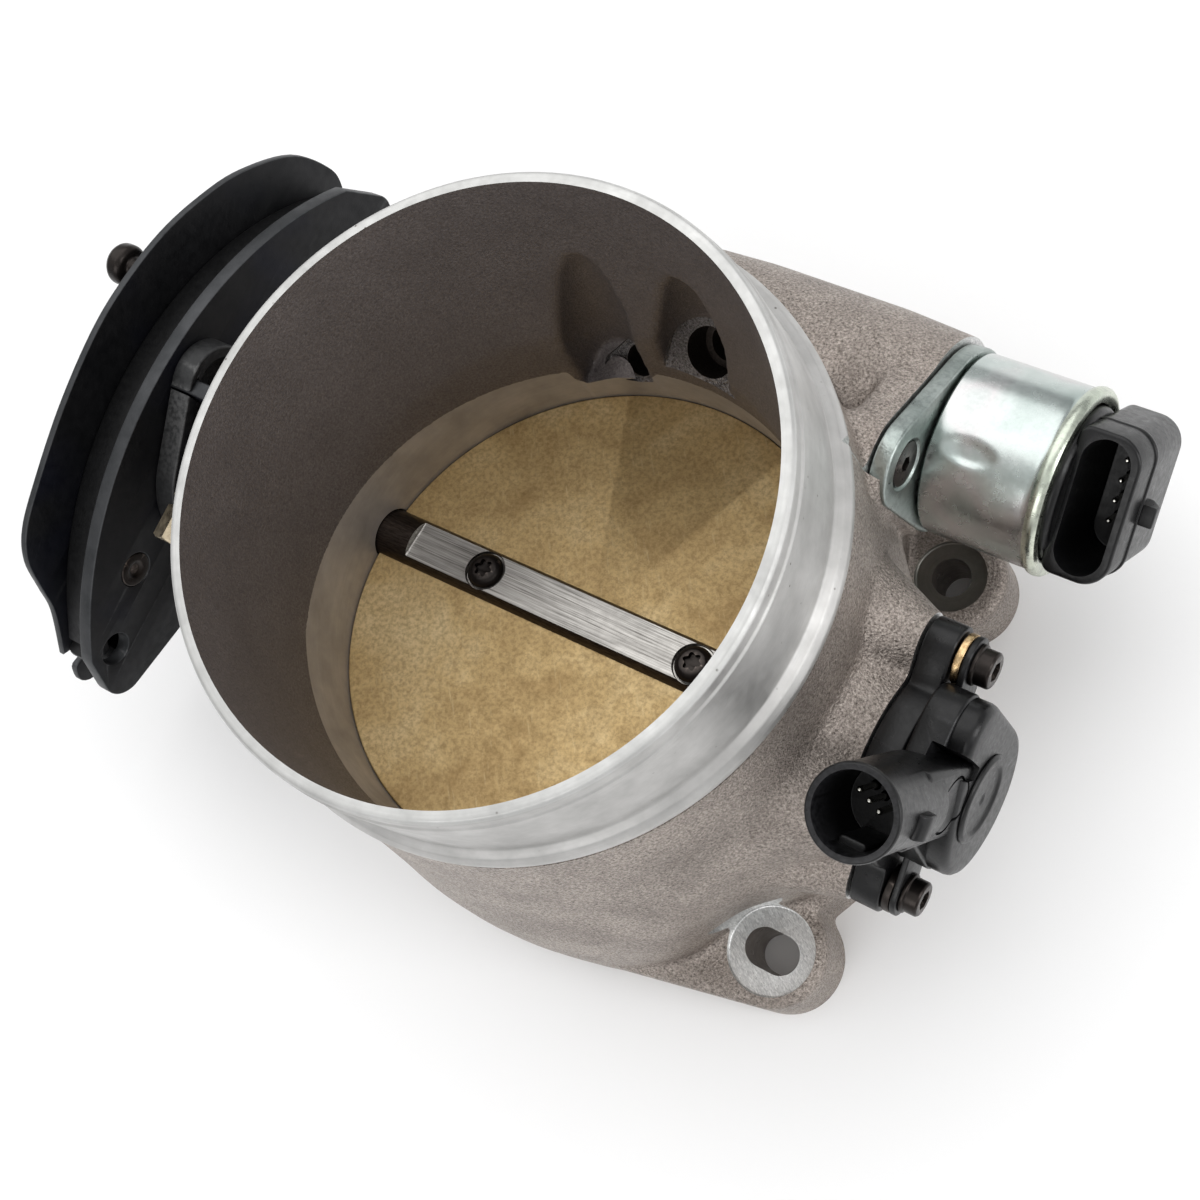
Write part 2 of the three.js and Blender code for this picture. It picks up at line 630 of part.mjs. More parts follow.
// Connector: round foot in the can's mouth and a D-shaped shell whose socket opens along +Y.
function valveConnector() {
  const shell = around([[10.4, 26.8, 2], [-10.4, 26.8, 2], [7.8, 31, 4.6], [-7.8, 31, 4.6]]);
  const socket = around([[7.3, 30.2, 4], [-7.3, 30.2, 4]]);
  const outer = solid(prism('y', shell, -12, 9.5));
  const foot = solid(rod('x', 13.2, 21, 25.5, 32));
  const lockTab = solid(box(35, 38, -3, 1.5, -1, 2.5));
  const holes = VALVE_PINS.map((z) => solid(at(rod('y', 0.8, -11.5, -8, 8), VALVE_PIN_X, 0, z)));
  return cut(join([outer, foot, lockTab]), [
    solid(prism('y', socket, -9.5, 11)), ...holes,
  ]);
}

// Flat-head screw with a hexagon recess, along X with its head's top at x = 3.3.
function valveScrew() {
  const body = lathe('x', [[0, -10], [1.65, -10], [1.65, 1.2], [3.8, 3.1], [0, 3.1]], 16);
  return solid(body).subtract(solid(rod('x', 1.3, 1.6, 4, 6)));
}

valve.add(
  mesh('idle_valve_flange', valveFlange(), finish.zinc),
  mesh('idle_valve_can', valveCan(), finish.zinc),
  mesh('idle_valve_coil', ring('x', 9, 14, 5.4, 20, 24), finish.plastic),
  mesh('idle_valve_rotor', ring('x', 2.9, 8.4, 6, 18, 24), finish.darkSteel),
  mesh('idle_valve_nose', lathe('x', [
    [3, -15], [7, -15], [7, -4.4], [6.2, -4.4], [6.2, -2.2], [7, -2.2], [7, 3], [3, 3], [3, -15],
  ], 24), finish.steel),
  mesh('idle_valve_seal', ring('x', 6.5, 9.2, -4.1, -2.5, 24), finish.rubber),
  mesh('idle_valve_pintle', lathe('x', [
    [0, -31], [1.5, -31], [6.2, -22.6], [6.2, -21.6], [2.4, -21], [2.4, 16], [0, 16],
  ], 20), finish.steel),
  mesh('idle_valve_spring', ring('x', 3.4, 5.2, -20.5, -15.5, 20), finish.steel),
  mesh('idle_valve_connector', valveConnector(), finish.plastic),
);
for (const [side, y] of [['upper', VALVE_SCREW_R], ['lower', -VALVE_SCREW_R]]) {
  const screw = mesh(`idle_valve_screw_${side}`, valveScrew(), finish.darkSteel);
  screw.position.y = y;
  valve.add(screw);
}
VALVE_PINS.forEach((z, i) => {
  const pin = mesh(`idle_valve_pin_${i + 1}`, rod('y', 0.5, -11, -4, 8), finish.tinned);
  pin.position.set(VALVE_PIN_X, 0, z);
  valve.add(pin);
});

// ---- throttle position sensor --------------------------------------------------------------------------

const SENSOR_X = 65.1;          // back of the sensor's body
const SENSOR_FRONT_X = 74.3;
const SOCKET_X = 68;            // socket's axis
const SOCKET_R = 7.1;
const SOCKET_FLOOR = 26;        // from the shaft axis
const SENSOR_PINS = [[-1.9, 0.9], [0, 0], [1.9, -0.9]]; // across the socket, as x and y

// Turns a body lying along +Z, about the shaft, so that it lies along the socket.
const toSocket = (body) => body.rotate([SOCKET_TURN - 90, 0, 0]);

const sensorHoles = (radius) => SENSOR_SCREWS
  .map(([y, z]) => solid(at(rod('x', radius, 50, 90, 16), 0, y, z)));

function sensorBracket() {
  const sheet = hubAndEars(15.5, 5, SENSOR_FACE_X + GAP, SENSOR_X - GAP);
  return cut(sheet, [solid(rod('x', 10, 50, 70)), ...sensorHoles(2.3)]);
}

// Rounded body, open at the back over the rotor, stepped down beside the barrel of its socket.
function sensorBody() {
  const outline = around([[0, -4.5, 13.2], [7, 11.6, 6.3], [-4, 9.5, 7.5]], 32);
  const block = solid(prism('x', outline, SENSOR_X, SENSOR_FRONT_X))
    .subtract(solid(box(72, 80, -20, 0.5, 8.5, 30)));
  const barrel = toSocket(solid(at(rod('z', SOCKET_R, 12, SOCKET_MOUTH, 28), SOCKET_X, 0, 0))
    .subtract(solid(box(50, SENSOR_X, -20, 20, 0, 17.5))));
  const clip = toSocket(solid(box(SOCKET_X + 5, SOCKET_X + 9, -2, 2, 27.5, 32)));
  const socket = toSocket(solid(at(rod('z', 6, SOCKET_FLOOR, 50), SOCKET_X, 0, 0)));
  const key = toSocket(solid(box(SOCKET_X - 5.8, SOCKET_X - 3.4, -3.5, 3.5, SOCKET_FLOOR - 1, 37)));
  const pinHoles = SENSOR_PINS.map(([x, y]) =>
    toSocket(solid(at(rod('z', 0.8, SOCKET_FLOOR - 6, SOCKET_FLOOR + 1, 8), SOCKET_X + x, y, 0))));
  const hollows = [solid(rod('x', 10, 60, 71)), socket, ...sensorHoles(4.9)];
  const shell = cut(join([block, barrel, clip]), hollows);
  return cut(shell.add(key), pinHoles);
}

function sensorScrew() {
  const body = lathe('x', [
    [0, -21], [1.65, -21], [1.65, 0], [3.5, 0], [3.5, 2.9], [3.1, 3.4], [0, 3.4],
  ], 20);
  return solid(body).subtract(solid(rod('x', 1.5, 1.4, 5, 6)));
}

function rotorBore() {
  const flats = solid(box(60, 75, -6, 6, -WHEEL_FLAT - 0.25, WHEEL_FLAT + 0.25));
  return flats.intersect(solid(rod('x', SHAFT_R + 0.25, 60, 75))).rotate([PLATE_TILT, 0, 0]);
}

core.add(
  mesh('sensor_bracket', sensorBracket(), finish.plastic),
  mesh('sensor_seal', ring('x', 8.4, 9.6, SENSOR_FACE_X + GAP, SENSOR_FACE_X + 2, 24), finish.rubber),
  mesh('sensor_body', sensorBody(), finish.plastic),
  mesh('sensor_cover', lathe('x', [
    [0, 0], [7.6, 0], [7.6, 0.6], [7.2, 0.9], [1, 0.9], [0.8, 0.5], [0, 0.5],
  ].map(([r, h]) => [r, SENSOR_FRONT_X + GAP + h]), 32), finish.plastic),
  mesh('sensor_rotor', cut(solid(rod('x', 9.4, 65.8, 70.6)), [rotorBore()]), finish.plastic),
);

SENSOR_SCREWS.forEach(([y, z], i) => {
  const side = ['upper', 'lower'][i];
  const sleeve = [finish.yellowZinc, finish.steel][i];
  for (const [name, shape, look] of [
    ['sleeve', ring('x', 2.1, 4.5, 65.1, 66.4, 24), sleeve],
    ['tab', ring('x', 2.1, 4.2, 66.7, 67.5, 24), finish.steel],
    ['screw', geometryOf(sensorScrew()).translate(67.8, 0, 0), finish.darkSteel],
  ]) {
    const piece = mesh(`sensor_${name}_${side}`, shape, look);
    piece.position.set(0, y, z);
    core.add(piece);
  }
});

SENSOR_PINS.forEach(([x, y], i) => {
  const pin = solid(at(rod('z', 0.5, SOCKET_FLOOR - 5, SOCKET_FLOOR + 7, 8), SOCKET_X + x, y, 0));
  core.add(mesh(`sensor_pin_${i + 1}`, toSocket(pin), finish.tinned));
});

export default throttleBody;
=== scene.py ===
"""Looks of the throttle body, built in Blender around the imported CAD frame.

Shapes are laid out in millimetres about the centre of the throttle shaft, as the CAD model is: X runs along
the shaft, Y towards the idle air valve and Z towards the air inlet. piece() lifts them into the frame, in
metres.
"""

import math

import bmesh
import bpy
from mathutils import Matrix, Vector


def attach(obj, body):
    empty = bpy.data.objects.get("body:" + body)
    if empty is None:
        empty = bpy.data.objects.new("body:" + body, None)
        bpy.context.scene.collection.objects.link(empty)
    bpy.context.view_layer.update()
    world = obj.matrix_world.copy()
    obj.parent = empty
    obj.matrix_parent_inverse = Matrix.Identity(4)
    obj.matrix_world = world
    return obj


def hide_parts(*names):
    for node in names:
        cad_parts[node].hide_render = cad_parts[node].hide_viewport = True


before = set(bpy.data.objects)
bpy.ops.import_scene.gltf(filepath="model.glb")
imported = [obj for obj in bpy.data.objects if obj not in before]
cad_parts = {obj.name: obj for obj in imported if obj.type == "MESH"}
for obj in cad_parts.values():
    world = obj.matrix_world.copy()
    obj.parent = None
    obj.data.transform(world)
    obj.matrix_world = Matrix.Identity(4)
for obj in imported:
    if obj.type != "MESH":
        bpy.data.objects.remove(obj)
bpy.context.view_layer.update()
scene = bpy.context.scene

# ---- driving dimensions, in millimetres ----

MM = 0.001
SHAFT_HEIGHT = 44               # of the shaft above the engine's face
LIFT = Matrix.Scale(MM, 4) @ Matrix.Translation((0, 0, SHAFT_HEIGHT))
CLEAR = 0.25                    # between the shaft and the holes that it passes through
OUTSIDE = 120                   # past the part in every direction

BORE_R, BORE_TOP = 45, 20       # BORE_TOP is where the boring cut ends, as the bell is wider from there
INLET_Z, INLET_Y = 58.3, 5.96   # the inlet's face, and how far its axis is off the bore's
COLLAR_FOOT, CASTING_TOP, BEAD_Z = 33, 34.6, 36.4
FLANGE_Z, FLANGE_TOP, FLANGE_R = -SHAFT_HEIGHT, -31, 55.8
EARS = [(45, 37), (45, -37), (-45, 37), (-45, -37)]
EAR_R = 9.8
BOLT_HOLE_R, BOLT_SLOT = 3.6, 1.6  # BOLT_SLOT is half the extra length of the two slotted holes

SHAFT_R, SHAFT_ENDS = 4.72, (-112, 70)
PLATE_TILT = -9.86
SCREW_X = 22
BEARING_R, BEARING_HOLE_R = 8, 8.3
PLATE_SCREW_R, PLATE_SLOT = 1.9, 1.1
FLAT_HALF, FLAT_HEIGHT, END_FLAT = 38, 3.1, 3.6

# Faces of the housing's pads, and the wheel's two plates.
SENSOR_FACE_X, WHEEL_FACE_X, VALVE_FACE_X = 59.2, -62, 42.5
WHEEL_X, WHEEL_OUTER_X = -88, -102
PLATE_GAUGE, OUTER_GAUGE = 3, 1.5

# Turns about X in degrees, and the circles that the screws sit on.
VALVE_Y, VALVE_TURN, VALVE_SCREW_R, CAN_R = 52.5, 122, 20.6, 15.5
SENSOR_TURN, SENSOR_SCREW_R = 30.3, 20.6
SOCKET_TURN, SOCKET_X = 107.8, 68.6
TAPPED_R, TAPPED_DEPTH = 1.95, 13
STOP_X, STOP_Z = -72, 20

TILT = Matrix.Rotation(math.radians(PLATE_TILT), 4, "X")
VALVE = Matrix.Translation((VALVE_FACE_X, VALVE_Y, 0)) @ Matrix.Rotation(math.radians(VALVE_TURN), 4, "X")
SOCKET = Matrix.Rotation(math.radians(SOCKET_TURN - 90), 4, "X")
STAY = Matrix.Identity(4)
SHARP = math.radians(35)        # edges that turn more than this stay sharp


def move(x=0, y=0, z=0):
    return Matrix.Translation((x, y, z))


def polar(radius, degrees):
    a = math.radians(degrees)
    return radius * math.cos(a), radius * math.sin(a)


# ---- shapes ----

# Local (u, v, w) to (x, y, z): w runs along the named axis.
TURN = {
    "x": Matrix(((0, 0, 1, 0), (1, 0, 0, 0), (0, 1, 0, 0), (0, 0, 0, 1))),
    "y": Matrix(((0, 1, 0, 0), (0, 0, 1, 0), (1, 0, 0, 0), (0, 0, 0, 1))),
    "z": Matrix.Identity(4),
}


# Stand-ins that carry each face's slot through the booleans. piece() puts the real materials in their place.
SLOTS = [bpy.data.materials.new(f"slot_{i}") for i in range(10)]


def linked(mesh, slots=None):
    """An object for a mesh. slots is one material slot for all its faces, or one for each."""
    for material in SLOTS:
        mesh.materials.append(material)
    if slots is not None:
        each = slots if isinstance(slots, list) else [slots] * len(mesh.polygons)
        mesh.polygons.foreach_set("material_index", each)
    obj = bpy.data.objects.new(mesh.name, mesh)
    scene.collection.objects.link(obj)
    return obj


def thing(verts, faces, slot=0):
    """A mesh object from points and faces, in millimetres."""
    mesh = bpy.data.meshes.new("part")
    mesh.from_pydata([tuple(v) for v in verts], [], faces)
    return linked(mesh, slot)


def outward(obj):
    """Merges doubled points and turns all faces outwards."""
    bm = bmesh.new()
    bm.from_mesh(obj.data)
    bmesh.ops.remove_doubles(bm, verts=bm.verts, dist=2e-4)
    bmesh.ops.recalc_face_normals(bm, faces=bm.faces)
    bm.to_mesh(obj.data)
    bm.free()
    return obj


def skin(rings, slot=0, closed=False):
    """Body skinned over rings of points: capped at both ends, or closed back on itself."""
    n = len(rings[0])
    verts = [p for ring in rings for p in ring]
    faces = []
    spans = len(rings) if closed else len(rings) - 1
    for i in range(spans):
        a, b = i * n, ((i + 1) % len(rings)) * n
        faces += [(a + j, a + (j + 1) % n, b + (j + 1) % n, b + j) for j in range(n)]
    if not closed:
        for ring in (0, len(rings) - 1):
            verts.append(sum((Vector(p) for p in rings[ring]), Vector()) / n)
            faces += [(ring * n + j, ring * n + (j + 1) % n, len(verts) - 1) for j in range(n)]
    return outward(thing(verts, faces, slot))


def rounded(points, radius, steps=3, closed=False):
    """The same line with its sharp corners turned into short arcs."""
    count = len(points)
    out = []
    for i, p in enumerate(points):
        p = Vector(p)
        if not closed and i in (0, count - 1):
            out.append(tuple(p))
            continue
        before, after = Vector(points[i - 1]) - p, Vector(points[(i + 1) % count]) - p
        if before.length < 1e-6 or after.length < 1e-6 or abs(before.angle(after) - math.pi) < 0.3:
            out.append(tuple(p))
            continue
        reach = min(radius, before.length * 0.45, after.length * 0.45)
        a, b = p + before.normalized() * reach, p + after.normalized() * reach
        for k in range(steps + 1):
            t = k / steps
            out.append(tuple(a * (1 - t) ** 2 + p * 2 * t * (1 - t) + b * t ** 2))
    return out


def lathe(axis, profile, edge=0.25, segments=96, slot=0, centre=(0, 0, 0)):
    """Body of revolution. Profile points are (radius, height); it is a ring when the profile closes."""
    ring = profile[0] == profile[-1]
    line = rounded(profile[:-1] if ring else profile, edge, closed=ring)
    turn = Matrix.Translation(centre) @ TURN[axis]
    rows = [
        [turn @ Vector((*polar(max(r, 1e-3), 360 * k / segments), h)) for k in range(segments)]
        for r, h in line
    ]
    return skin(rows, slot, closed=ring)


def sleeve(axis, inner, outer, h0, h1, edge=0.25, segments=96):
    """Ring of rectangular section."""
    profile = [(inner, h0), (outer, h0), (outer, h1), (inner, h1), (inner, h0)]
    return lathe(axis, profile, edge, segments)


def o_ring(radius, x, wide, high):
    """Ring about X of oval section, squeezed in its groove."""
    turns = [math.pi * k / 8 for k in range(17)]
    return lathe("x", [(radius + wide * math.cos(a), x + high * math.sin(a)) for a in turns], 0)


def rod(axis, radius, h0, h1, segments=48, slot=0, centre=(0, 0, 0)):
    return lathe(axis, [(0, h0), (radius, h0), (radius, h1), (0, h1)], 0, segments, slot, centre)


def around(circles, steps=48):
    """Convex outline around circles given as (u, v, radius)."""
    points = sorted(
        (u + r * math.cos(2 * math.pi * i / steps), v + r * math.sin(2 * math.pi * i / steps))
        for u, v, r in circles for i in range(steps)
    )

    def half(line):
        chain = []
        for p in line:
            while len(chain) > 1:
                (ax, ay), (bx, by) = chain[-2], chain[-1]
                if (bx - ax) * (p[1] - ay) - (by - ay) * (p[0] - ax) > 1e-9:
                    break
                chain.pop()
            chain.append(p)
        return chain[:-1]

    return half(points) + half(points[::-1])


def circle(u, v, r, steps=40):
    turns = [2 * math.pi * i / steps for i in range(steps)]
    return [(u + r * math.cos(a), v + r * math.sin(a)) for a in turns]


def rectangle(u0, u1, v0, v1):
    return [(u0, v0), (u1, v0), (u1, v1), (u0, v1)]


def hexagon(width):
    """Hexagon of a width across its flats."""
    return circle(0, 0, width / math.sqrt(3), 6)


def mesh_of_curve(curve):
    holder = bpy.data.objects.new("holder", curve)
    scene.collection.objects.link(holder)
    bpy.context.view_layer.update()
    mesh = bpy.data.meshes.new_from_object(holder.evaluated_get(bpy.context.evaluated_depsgraph_get()))
    bpy.data.objects.remove(holder)
    return mesh


def slab(axis, outlines, h0, h1, edge=0.25, slot=0, rim_slot=None):
    """Plate with softened edges: its outer outline first, then any holes, in (u, v) across the axis."""
    curve = bpy.data.curves.new("slab", "CURVE")
    curve.dimensions, curve.fill_mode = "2D", "BOTH"
    curve.extrude = (h1 - h0) / 2 - edge
    curve.bevel_depth, curve.bevel_resolution, curve.offset = edge, 2, -edge
    for outline in outlines:
        spline = curve.splines.new("POLY")
        spline.points.add(len(outline) - 1)
        for point, (u, v) in zip(spline.points, outline):
            point.co = (u, v, 0, 1)
        spline.use_cyclic_u = True
    mesh = mesh_of_curve(curve)
    on_rim = [rim_slot is not None and abs(polygon.normal.z) < 0.9 for polygon in mesh.polygons]
    mesh.transform(TURN[axis] @ move(z=(h0 + h1) / 2))
    return outward(linked(mesh, [rim_slot if rim else slot for rim in on_rim]))


def block(x0, x1, y0, y1, z0, z1, edge=0.3, slot=0):
    return slab("z", [rounded(rectangle(x0, x1, y0, y1), edge * 2, closed=True)], z0, z1, edge, slot)


def tube(points, radius, slot=0, sides=6):
    """Round wire along points."""
    curve = bpy.data.curves.new("wire", "CURVE")
    curve.dimensions = "3D"
    curve.bevel_depth, curve.bevel_resolution, curve.use_fill_caps = radius, sides, True
    spline = curve.splines.new("POLY")
    spline.points.add(len(points) - 1)
    for point, p in zip(spline.points, points):
        point.co = (*p, 1)
    return outward(linked(mesh_of_curve(curve), slot))


def turned(obj, matrix):
    obj.data.transform(matrix)
    return obj


def applied(obj):
    """Bakes the modifiers of obj into its mesh."""
    bpy.context.view_layer.update()
    mesh = bpy.data.meshes.new_from_object(obj.evaluated_get(bpy.context.evaluated_depsgraph_get()))
    obj.modifiers.clear()
    obj.data = mesh
    return obj


def combine(obj, tools, operation):
    """Joins tools to obj, or cuts them from it. The tools are used up, and faces keep their slots."""
    for tool in tools:
        modifier = obj.modifiers.new("combine", "BOOLEAN")
        modifier.operation, modifier.solver, modifier.object = operation, "MANIFOLD", tool
        modifier.material_mode = "TRANSFER"
    applied(obj)
    for tool in tools:
        bpy.data.objects.remove(tool)
    return obj


def join(obj, *tools):
    return combine(obj, tools, "UNION")


def cut(obj, *tools):
    return combine(obj, tools, "DIFFERENCE")


def gather(objects):
    """One object that holds all the meshes, with no joining."""
    bm = bmesh.new()
    for obj in objects:
        bm.from_mesh(obj.data)
    mesh = bpy.data.meshes.new("gathered")
    bm.to_mesh(mesh)
    bm.free()
    for obj in objects:
        bpy.data.objects.remove(obj)
    return linked(mesh)


def cast(objects, voxel, rounds):
    """Melts overlapping bodies into one with soft fillets, like a casting."""
    obj = gather(objects)
    remesh = obj.modifiers.new("remesh", "REMESH")
    remesh.mode, remesh.voxel_size, remesh.adaptivity = "VOXEL", voxel, 0
    soft = obj.modifiers.new("soften", "SMOOTH")
    soft.factor, soft.iterations = 0.5, rounds
    return applied(obj)


def piece(obj, name, node, materials, body="body", where=STAY):
    """Lifts a finished shape into the frame, as the piece that stands for a CAD node."""
    obj.name = obj.data.name = name
    obj.data.transform(LIFT @ where)
    for i, material in enumerate(materials):
        obj.data.materials[i] = material
    while len(obj.data.materials) > len(materials):
        obj.data.materials.pop()
    obj.data.shade_smooth()
    obj.data.set_sharp_from_angle(angle=SHARP)
    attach(obj, body)
    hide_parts(node)


# ---- materials ----

def srgb(r, g, b):
    """Linear colour from 0-255 display values."""
    linear = [(c / 255 / 12.92) if c <= 10 else ((c / 255 + 0.055) / 1.055) ** 2.4 for c in (r, g, b)]
    return (*linear, 1)


class Paint:
    """A procedural material on a Principled shader. Texture scales are in features per millimetre."""

    def __init__(self, name, metallic, **sockets):
        self.material = bpy.data.materials.new(name)
        self.material.use_nodes = True
        self.nodes, self.links = self.material.node_tree.nodes, self.material.node_tree.links
        self.shader = self.nodes["Principled BSDF"]
        self.shader.inputs["Metallic"].default_value = metallic
        for socket, value in sockets.items():
            self.shader.inputs[socket.replace("_", " ")].default_value = value
        where = self.nodes.new("ShaderNodeTexCoord").outputs["Object"]
        self.place = self.maths(where, 1 / MM, "ShaderNodeVectorMath", "SCALE", "Scale")
        self.normal = None

    def maths(self, value, other, kind="ShaderNodeMath", operation="MULTIPLY", socket=1):
        node = self.nodes.new(kind)
        node.operation = operation
        self.links.new(value, node.inputs[0])
        self.put(other, node.inputs[socket])
        return node.outputs[0]

    def put(self, value, socket):
        if isinstance(value, bpy.types.NodeSocket):
            self.links.new(value, socket)
        else:
            socket.default_value = value

    def vector(self, value, operation, by):
        return self.maths(value, by, "ShaderNodeVectorMath", operation)

    def stretched(self, x, y, z, turn=None):
        """Texture space squeezed by a factor along each axis, after an optional turn in radians."""
        place = self.place
        if turn:
            rotate = self.nodes.new("ShaderNodeMapping")
            self.links.new(place, rotate.inputs[0])
            rotate.inputs["Rotation"].default_value = turn
            place = rotate.outputs[0]
        return self.vector(place, "MULTIPLY", (x, y, z))

    def round_about(self, x, y):
        """Distance from an axis along Z, as a texture space for turned faces."""
        flat = self.vector(self.vector(self.place, "SUBTRACT", (x, y, 0)), "MULTIPLY", (1, 1, 0))
        length = self.nodes.new("ShaderNodeVectorMath")
        length.operation = "LENGTH"
        self.links.new(flat, length.inputs[0])
        across = self.nodes.new("ShaderNodeCombineXYZ")
        self.links.new(length.outputs["Value"], across.inputs[0])
        return across.outputs[0]

    def noise(self, scale, detail=3, rough=0.55, place=None, distortion=0):
        node = self.nodes.new("ShaderNodeTexNoise")
        self.links.new(place or self.place, node.inputs["Vector"])
        node.inputs["Scale"].default_value = scale
        node.inputs["Detail"].default_value = detail
        node.inputs["Roughness"].default_value = rough
        node.inputs["Distortion"].default_value = distortion
        return node.outputs[0]

    def cells(self, scale):
        node = self.nodes.new("ShaderNodeTexVoronoi")
        self.links.new(self.place, node.inputs["Vector"])
        node.inputs["Scale"].default_value = scale
        return node.outputs[0]

    def ramp(self, value, *stops):
        """Colour or number ramp. Stops are (position, value)."""
        node = self.nodes.new("ShaderNodeValToRGB")
        self.links.new(value, node.inputs[0])
        elements = node.color_ramp.elements
        while len(elements) < len(stops):
            elements.new(0.5)
        for element, (position, value) in zip(elements, stops):
            element.position = position
            element.color = value if isinstance(value, tuple) else (value, value, value, 1)
        return node.outputs[0]

    def blend(self, share, a, b):
        """Colour a with a share of colour b laid over it."""
        node = self.nodes.new("ShaderNodeMix")
        node.data_type = "RGBA"
        self.put(share, node.inputs[0])
        self.put(a, node.inputs[6])
        self.put(b, node.inputs[7])
        return node.outputs[2]

    def bump(self, height, distance, strength=1.0):
        """Adds relief of the given depth in millimetres."""
        node = self.nodes.new("ShaderNodeBump")
        self.links.new(height, node.inputs["Height"])
        node.inputs["Distance"].default_value = distance * MM
        node.inputs["Strength"].default_value = strength
        if self.normal:
            self.links.new(self.normal, node.inputs["Normal"])
        self.normal = node.outputs[0]

    def worn(self, colour, edge):
        """Colours outer edges, in patches, by how pointed the surface is."""
        node = self.nodes.new("ShaderNodeNewGeometry")
        share = self.ramp(node.outputs["Pointiness"], (0.52, 0.0), (0.62, 1.0))
        patchy = self.maths(share, self.ramp(self.noise(1.2), (0.35, 0.2), (0.6, 1.0)))
        return self.blend(patchy, colour, edge)

    def done(self, colour, roughness):
        self.put(colour, self.shader.inputs["Base Color"])
        self.put(roughness, self.shader.inputs["Roughness"])
        if self.normal:
            self.links.new(self.normal, self.shader.inputs["Normal"])
        return self.material


def cast_metal(name, dark, light, grain=0.12, rough=(0.34, 0.6), metallic=0.9):
    """Sand-cast aluminium skin: grains that catch the light, over a slow mottle."""
    paint = Paint(name, metallic)
    grains = paint.noise(2.2, 4, 0.75)
    fine = paint.cells(2.7)
    slow = paint.noise(0.09, 3, 0.6)
    tone = paint.ramp(grains, (0.3, srgb(*dark)), (0.72, srgb(*light)))
    tone = paint.blend(paint.ramp(slow, (0.35, 0.0), (0.7, 0.35)), tone, srgb(*dark))
    paint.bump(slow, 0.35, 0.5)
    paint.bump(grains, grain * 1.6)
    paint.bump(fine, grain, 0.8)
    return paint.done(tone, paint.ramp(fine, (0.1, rough[1]), (0.8, rough[0])))


def turned_metal(
    name, dark, light, about=None, lines=3.0, rough=(0.26, 0.42), depth=0.02, pits=True, metallic=0.95,
):
    """Machined aluminium with faint smudges and small pits. Its tool lines are level, or circle a point."""
    paint = Paint(name, metallic)
    tool = paint.noise(lines, 2, 0.7, paint.round_about(*about) if about else paint.stretched(0.02, 0.02, 1))
    slow = paint.noise(0.12, 4, 0.6)
    tone = paint.ramp(slow, (0.3, srgb(*dark)), (0.7, srgb(*light)))
    tone = paint.blend(paint.ramp(tool, (0.3, 0.3), (0.7, 0.0)), tone, srgb(*dark))
    if pits:
        spots = paint.ramp(paint.cells(0.42), (0.05, 1.0), (0.11, 0.0))
        kept = paint.maths(spots, paint.ramp(paint.noise(0.25), (0.5, 0.0), (0.62, 0.8)))
        tone = paint.blend(kept, tone, srgb(92, 86, 80))
    paint.bump(tool, depth)
    paint.bump(paint.noise(3.5, 2), 0.01, 0.6)
    return paint.done(tone, paint.ramp(paint.noise(0.5, 4), (0.3, rough[0]), (0.7, rough[1])))


def milled_metal(name, dark, light):
    """Face cut by an end mill: bright, with short crossing scratches."""
    paint = Paint(name, 1.0)
    swirl = paint.noise(1.1, 3, 0.6, paint.stretched(1, 3.5, 1, (0, 0, 0.6)), 1.2)
    tone = paint.ramp(swirl, (0.3, srgb(*dark)), (0.7, srgb(*light)))
    paint.bump(swirl, 0.05, 0.6)
    paint.bump(paint.noise(5, 2), 0.01)
    return paint.done(tone, paint.ramp(paint.noise(0.9), (0.3, 0.3), (0.7, 0.46)))


def plate_brass():
    """Rolled brass sheet: blotchy tan patina, fine grain and hair scratches."""
    paint = Paint("brass_sheet", 0.6)
    blotch = paint.noise(0.055, 5, 0.62, distortion=0.4)
    speck = paint.noise(1.3, 3, 0.7)
    scratch = paint.noise(1.6, 2, 0.5, paint.stretched(0.03, 1.4, 1, (0, 0, 0.9)))
    tan = (0.28, srgb(172, 142, 94)), (0.5, srgb(210, 182, 130)), (0.72, srgb(230, 207, 160))
    tone = paint.ramp(blotch, *tan)
    tone = paint.blend(paint.ramp(speck, (0.34, 0.5), (0.6, 0.0)), tone, srgb(134, 106, 66))
    tone = paint.blend(paint.ramp(scratch, (0.62, 0.0), (0.8, 0.4)), tone, srgb(232, 214, 170))
    paint.bump(speck, 0.03)
    paint.bump(scratch, 0.012)
    return paint.done(tone, paint.ramp(paint.noise(0.35, 4), (0.3, 0.48), (0.7, 0.64)))


def brushed_steel(name, dark, light, squeeze, rough=(0.2, 0.34), depth=0.03, turn=None):
    """Ground or brushed steel with lines across the squeezed axis."""
    paint = Paint(name, 1.0)
    line = paint.noise(1.6, 3, 0.7, paint.stretched(*squeeze, turn))
    tone = paint.ramp(line, (0.32, srgb(*dark)), (0.66, srgb(*light)))
    paint.bump(line, depth)
    return paint.done(tone, paint.ramp(paint.noise(0.7, 4), (0.3, rough[0]), (0.7, rough[1])))


def coated_steel(name, dark, light, edge, metallic=0.75, rough=(0.38, 0.55), smudge=None):
    """Black oxide or paint on steel, patchy, with lighter worn edges."""
    paint = Paint(name, metallic)
    patch = paint.noise(0.11, 5, 0.62)
    tone = paint.ramp(patch, (0.3, srgb(*dark)), (0.72, srgb(*light)))
    if smudge:
        tone = paint.blend(paint.ramp(paint.noise(0.045, 2), (0.52, 0.0), (0.7, 0.6)), tone, srgb(*smudge))
    tone = paint.worn(tone, srgb(*edge))
    paint.bump(paint.noise(2.4, 3), 0.03, 0.7)
    return paint.done(tone, paint.ramp(paint.noise(0.6, 4), (0.3, rough[0]), (0.7, rough[1])))


